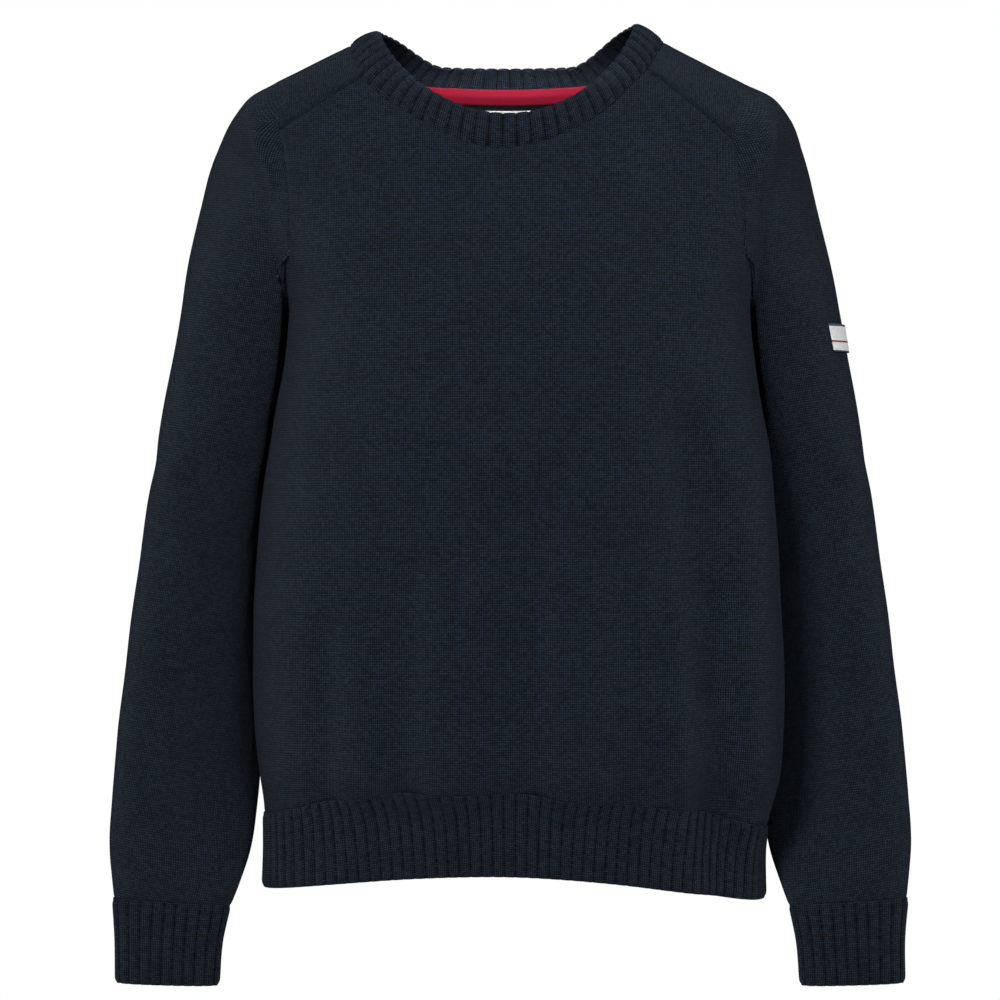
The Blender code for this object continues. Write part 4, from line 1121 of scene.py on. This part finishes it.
def woven(name, light, dark, thread):
    """Tightly woven tape or label cloth: its nodes and the length along it."""
    nodes = Nodes(name, roughness=0.7, specular=0.1, sheen=0.03, sheen_roughness=0.4)
    uv, u, v = nodes.cloth()
    turn = 2 * math.pi / thread
    warp = nodes.maths("SINE", nodes.maths("MULTIPLY", u, turn))
    slant = nodes.maths("ADD", v, nodes.maths("MULTIPLY", u, 0.5))
    weft = nodes.maths("SINE", nodes.maths("MULTIPLY", slant, turn))
    height = nodes.maths("MULTIPLY_ADD", nodes.maths("ADD", warp, weft), 0.25, 0.5)
    # Painted shade where the threads dip, mixed with random tone from the noise
    shade = nodes.maths("ADD", nodes.maths("MULTIPLY", height, 0.5), nodes.noise(uv, 300.0))
    nodes.colour(nodes.ramp(shade, 0.4, 1.1, dark, light))
    nodes.bump(height, 0.0002, 0.6)
    return nodes, v


def badge_material():
    """Pale woven badge with thin dark borders and one thin red line."""
    nodes, v = woven("badge_weave", LABEL_PALE, BADGE_SHADE, LABEL_THREAD)
    base = nodes.shader.inputs["Base Color"].links[0].from_socket
    place, half_width = BADGE_LINE
    line = nodes.maths("LESS_THAN", nodes.maths("ABSOLUTE", nodes.maths("SUBTRACT", v, place)), half_width)
    low, high = BADGE_BORDERS
    border = nodes.maths("MAXIMUM", nodes.maths("LESS_THAN", v, low), nodes.maths("GREATER_THAN", v, high))
    nodes.colour(nodes.mixed(border, nodes.mixed(line, base, TAPE_RED), BADGE_EDGE))
    return nodes.material


def light(name, place, aim, size, power, colour, spread):
    """A soft lamp of this width and height that points at aim."""
    lamp = bpy.data.lights.new(name, "AREA")
    lamp.shape = "RECTANGLE"
    lamp.size, lamp.size_y = size
    lamp.energy, lamp.color, lamp.spread = power, colour, math.radians(spread)
    made = bpy.data.objects.new(name, lamp)
    made.location = place
    direction = Vector(aim) - Vector(place)
    made.rotation_euler = direction.to_track_quat("-Z", "Y").to_euler()
    made.visible_camera = False
    bpy.context.scene.collection.objects.link(made)


def pale_floor():
    """The floor that the light falls on, below the garment."""
    shape = bmesh.new()
    bmesh.ops.create_grid(shape, x_segments=8, y_segments=8, size=FLOOR_HALF)
    bmesh.ops.translate(shape, verts=shape.verts[:], vec=(0.0, 0.0, FLOOR_Z))
    mesh = bpy.data.meshes.new("floor")
    shape.to_mesh(mesh)
    shape.free()
    paper = Nodes("floor_paper", roughness=0.9, specular=0.25)
    place = paper.put("ShaderNodeTexCoord").outputs["Object"]
    paper.colour(paper.ramp(paper.noise(place, 3.0), 0.3, 0.7, *PAPER))
    mesh.materials.append(paper.material)
    floor = bpy.data.objects.new("floor", mesh)
    bpy.context.scene.collection.objects.link(floor)


def surroundings():
    """White behind the garment, and a weak even light from all sides."""
    world = bpy.data.worlds.new("studio")
    bpy.context.scene.world = world
    world.use_nodes = True
    tree = world.node_tree
    tree.nodes.clear()
    kinds = ("ShaderNodeBackground", "ShaderNodeBackground", "ShaderNodeLightPath", "ShaderNodeMixShader")
    fill, white, path, mix = (tree.nodes.new(kind) for kind in kinds)
    for node, colour, strength in ((fill, FILL_COLOUR, FILL), (white, WHITE, 1.0)):
        node.inputs[0].default_value, node.inputs[1].default_value = colour, strength
    output = tree.nodes.new("ShaderNodeOutputWorld")
    tree.links.new(path.outputs["Is Camera Ray"], mix.inputs[0])
    tree.links.new(fill.outputs[0], mix.inputs[1])
    tree.links.new(white.outputs[0], mix.inputs[2])
    tree.links.new(mix.outputs[0], output.inputs[0])


def camera():
    """The camera, level and straight in front."""
    lens = bpy.data.cameras.new("camera")
    lens.lens, lens.sensor_width = CAMERA_LENS, CAMERA_SENSOR
    made = bpy.data.objects.new("camera", lens)
    made.location = CAMERA_PLACE
    made.rotation_euler = (math.pi / 2, 0.0, 0.0)
    bpy.context.scene.collection.objects.link(made)
    bpy.context.scene.camera = made


def studio():
    """Floor, surroundings, lamps and camera."""
    bpy.context.scene.view_settings.view_transform = "Standard"
    pale_floor()
    surroundings()
    for lamp in LAMPS:
        light(*lamp)
    camera()


def main():
    studio()
    plain, marked = knit("knit_plain"), knit("knit_marked", marks=True)
    for face in ("front", "back"):
        piece(face + "_cloth", [body_panel(face)], WALL, marked, face + "_panel")
        piece("hem_%s_band" % face, hem_band(face), None, plain, "hem_" + face)
    for side in ("right", "left"):
        piece(side + "_sleeve_cloth", sleeve_patches(side), WALL, marked, side + "_sleeve")
        piece(side + "_cuff_band", cuff_band(side), None, plain, side + "_cuff")
    piece("collar_band", band(*collar_surface(), COLLAR_WALL), None, plain, "collar")
    tape = woven("tape_weave", TAPE_RED, TAPE_SHADE, TAPE_THREAD)[0].material
    label = woven("label_weave", LABEL_PALE, LABEL_SHADE, LABEL_THREAD)[0].material
    tape_piece, label_piece = neck_tape(tape), neck_label(label)
    badge_piece = badge(badge_material())


main()
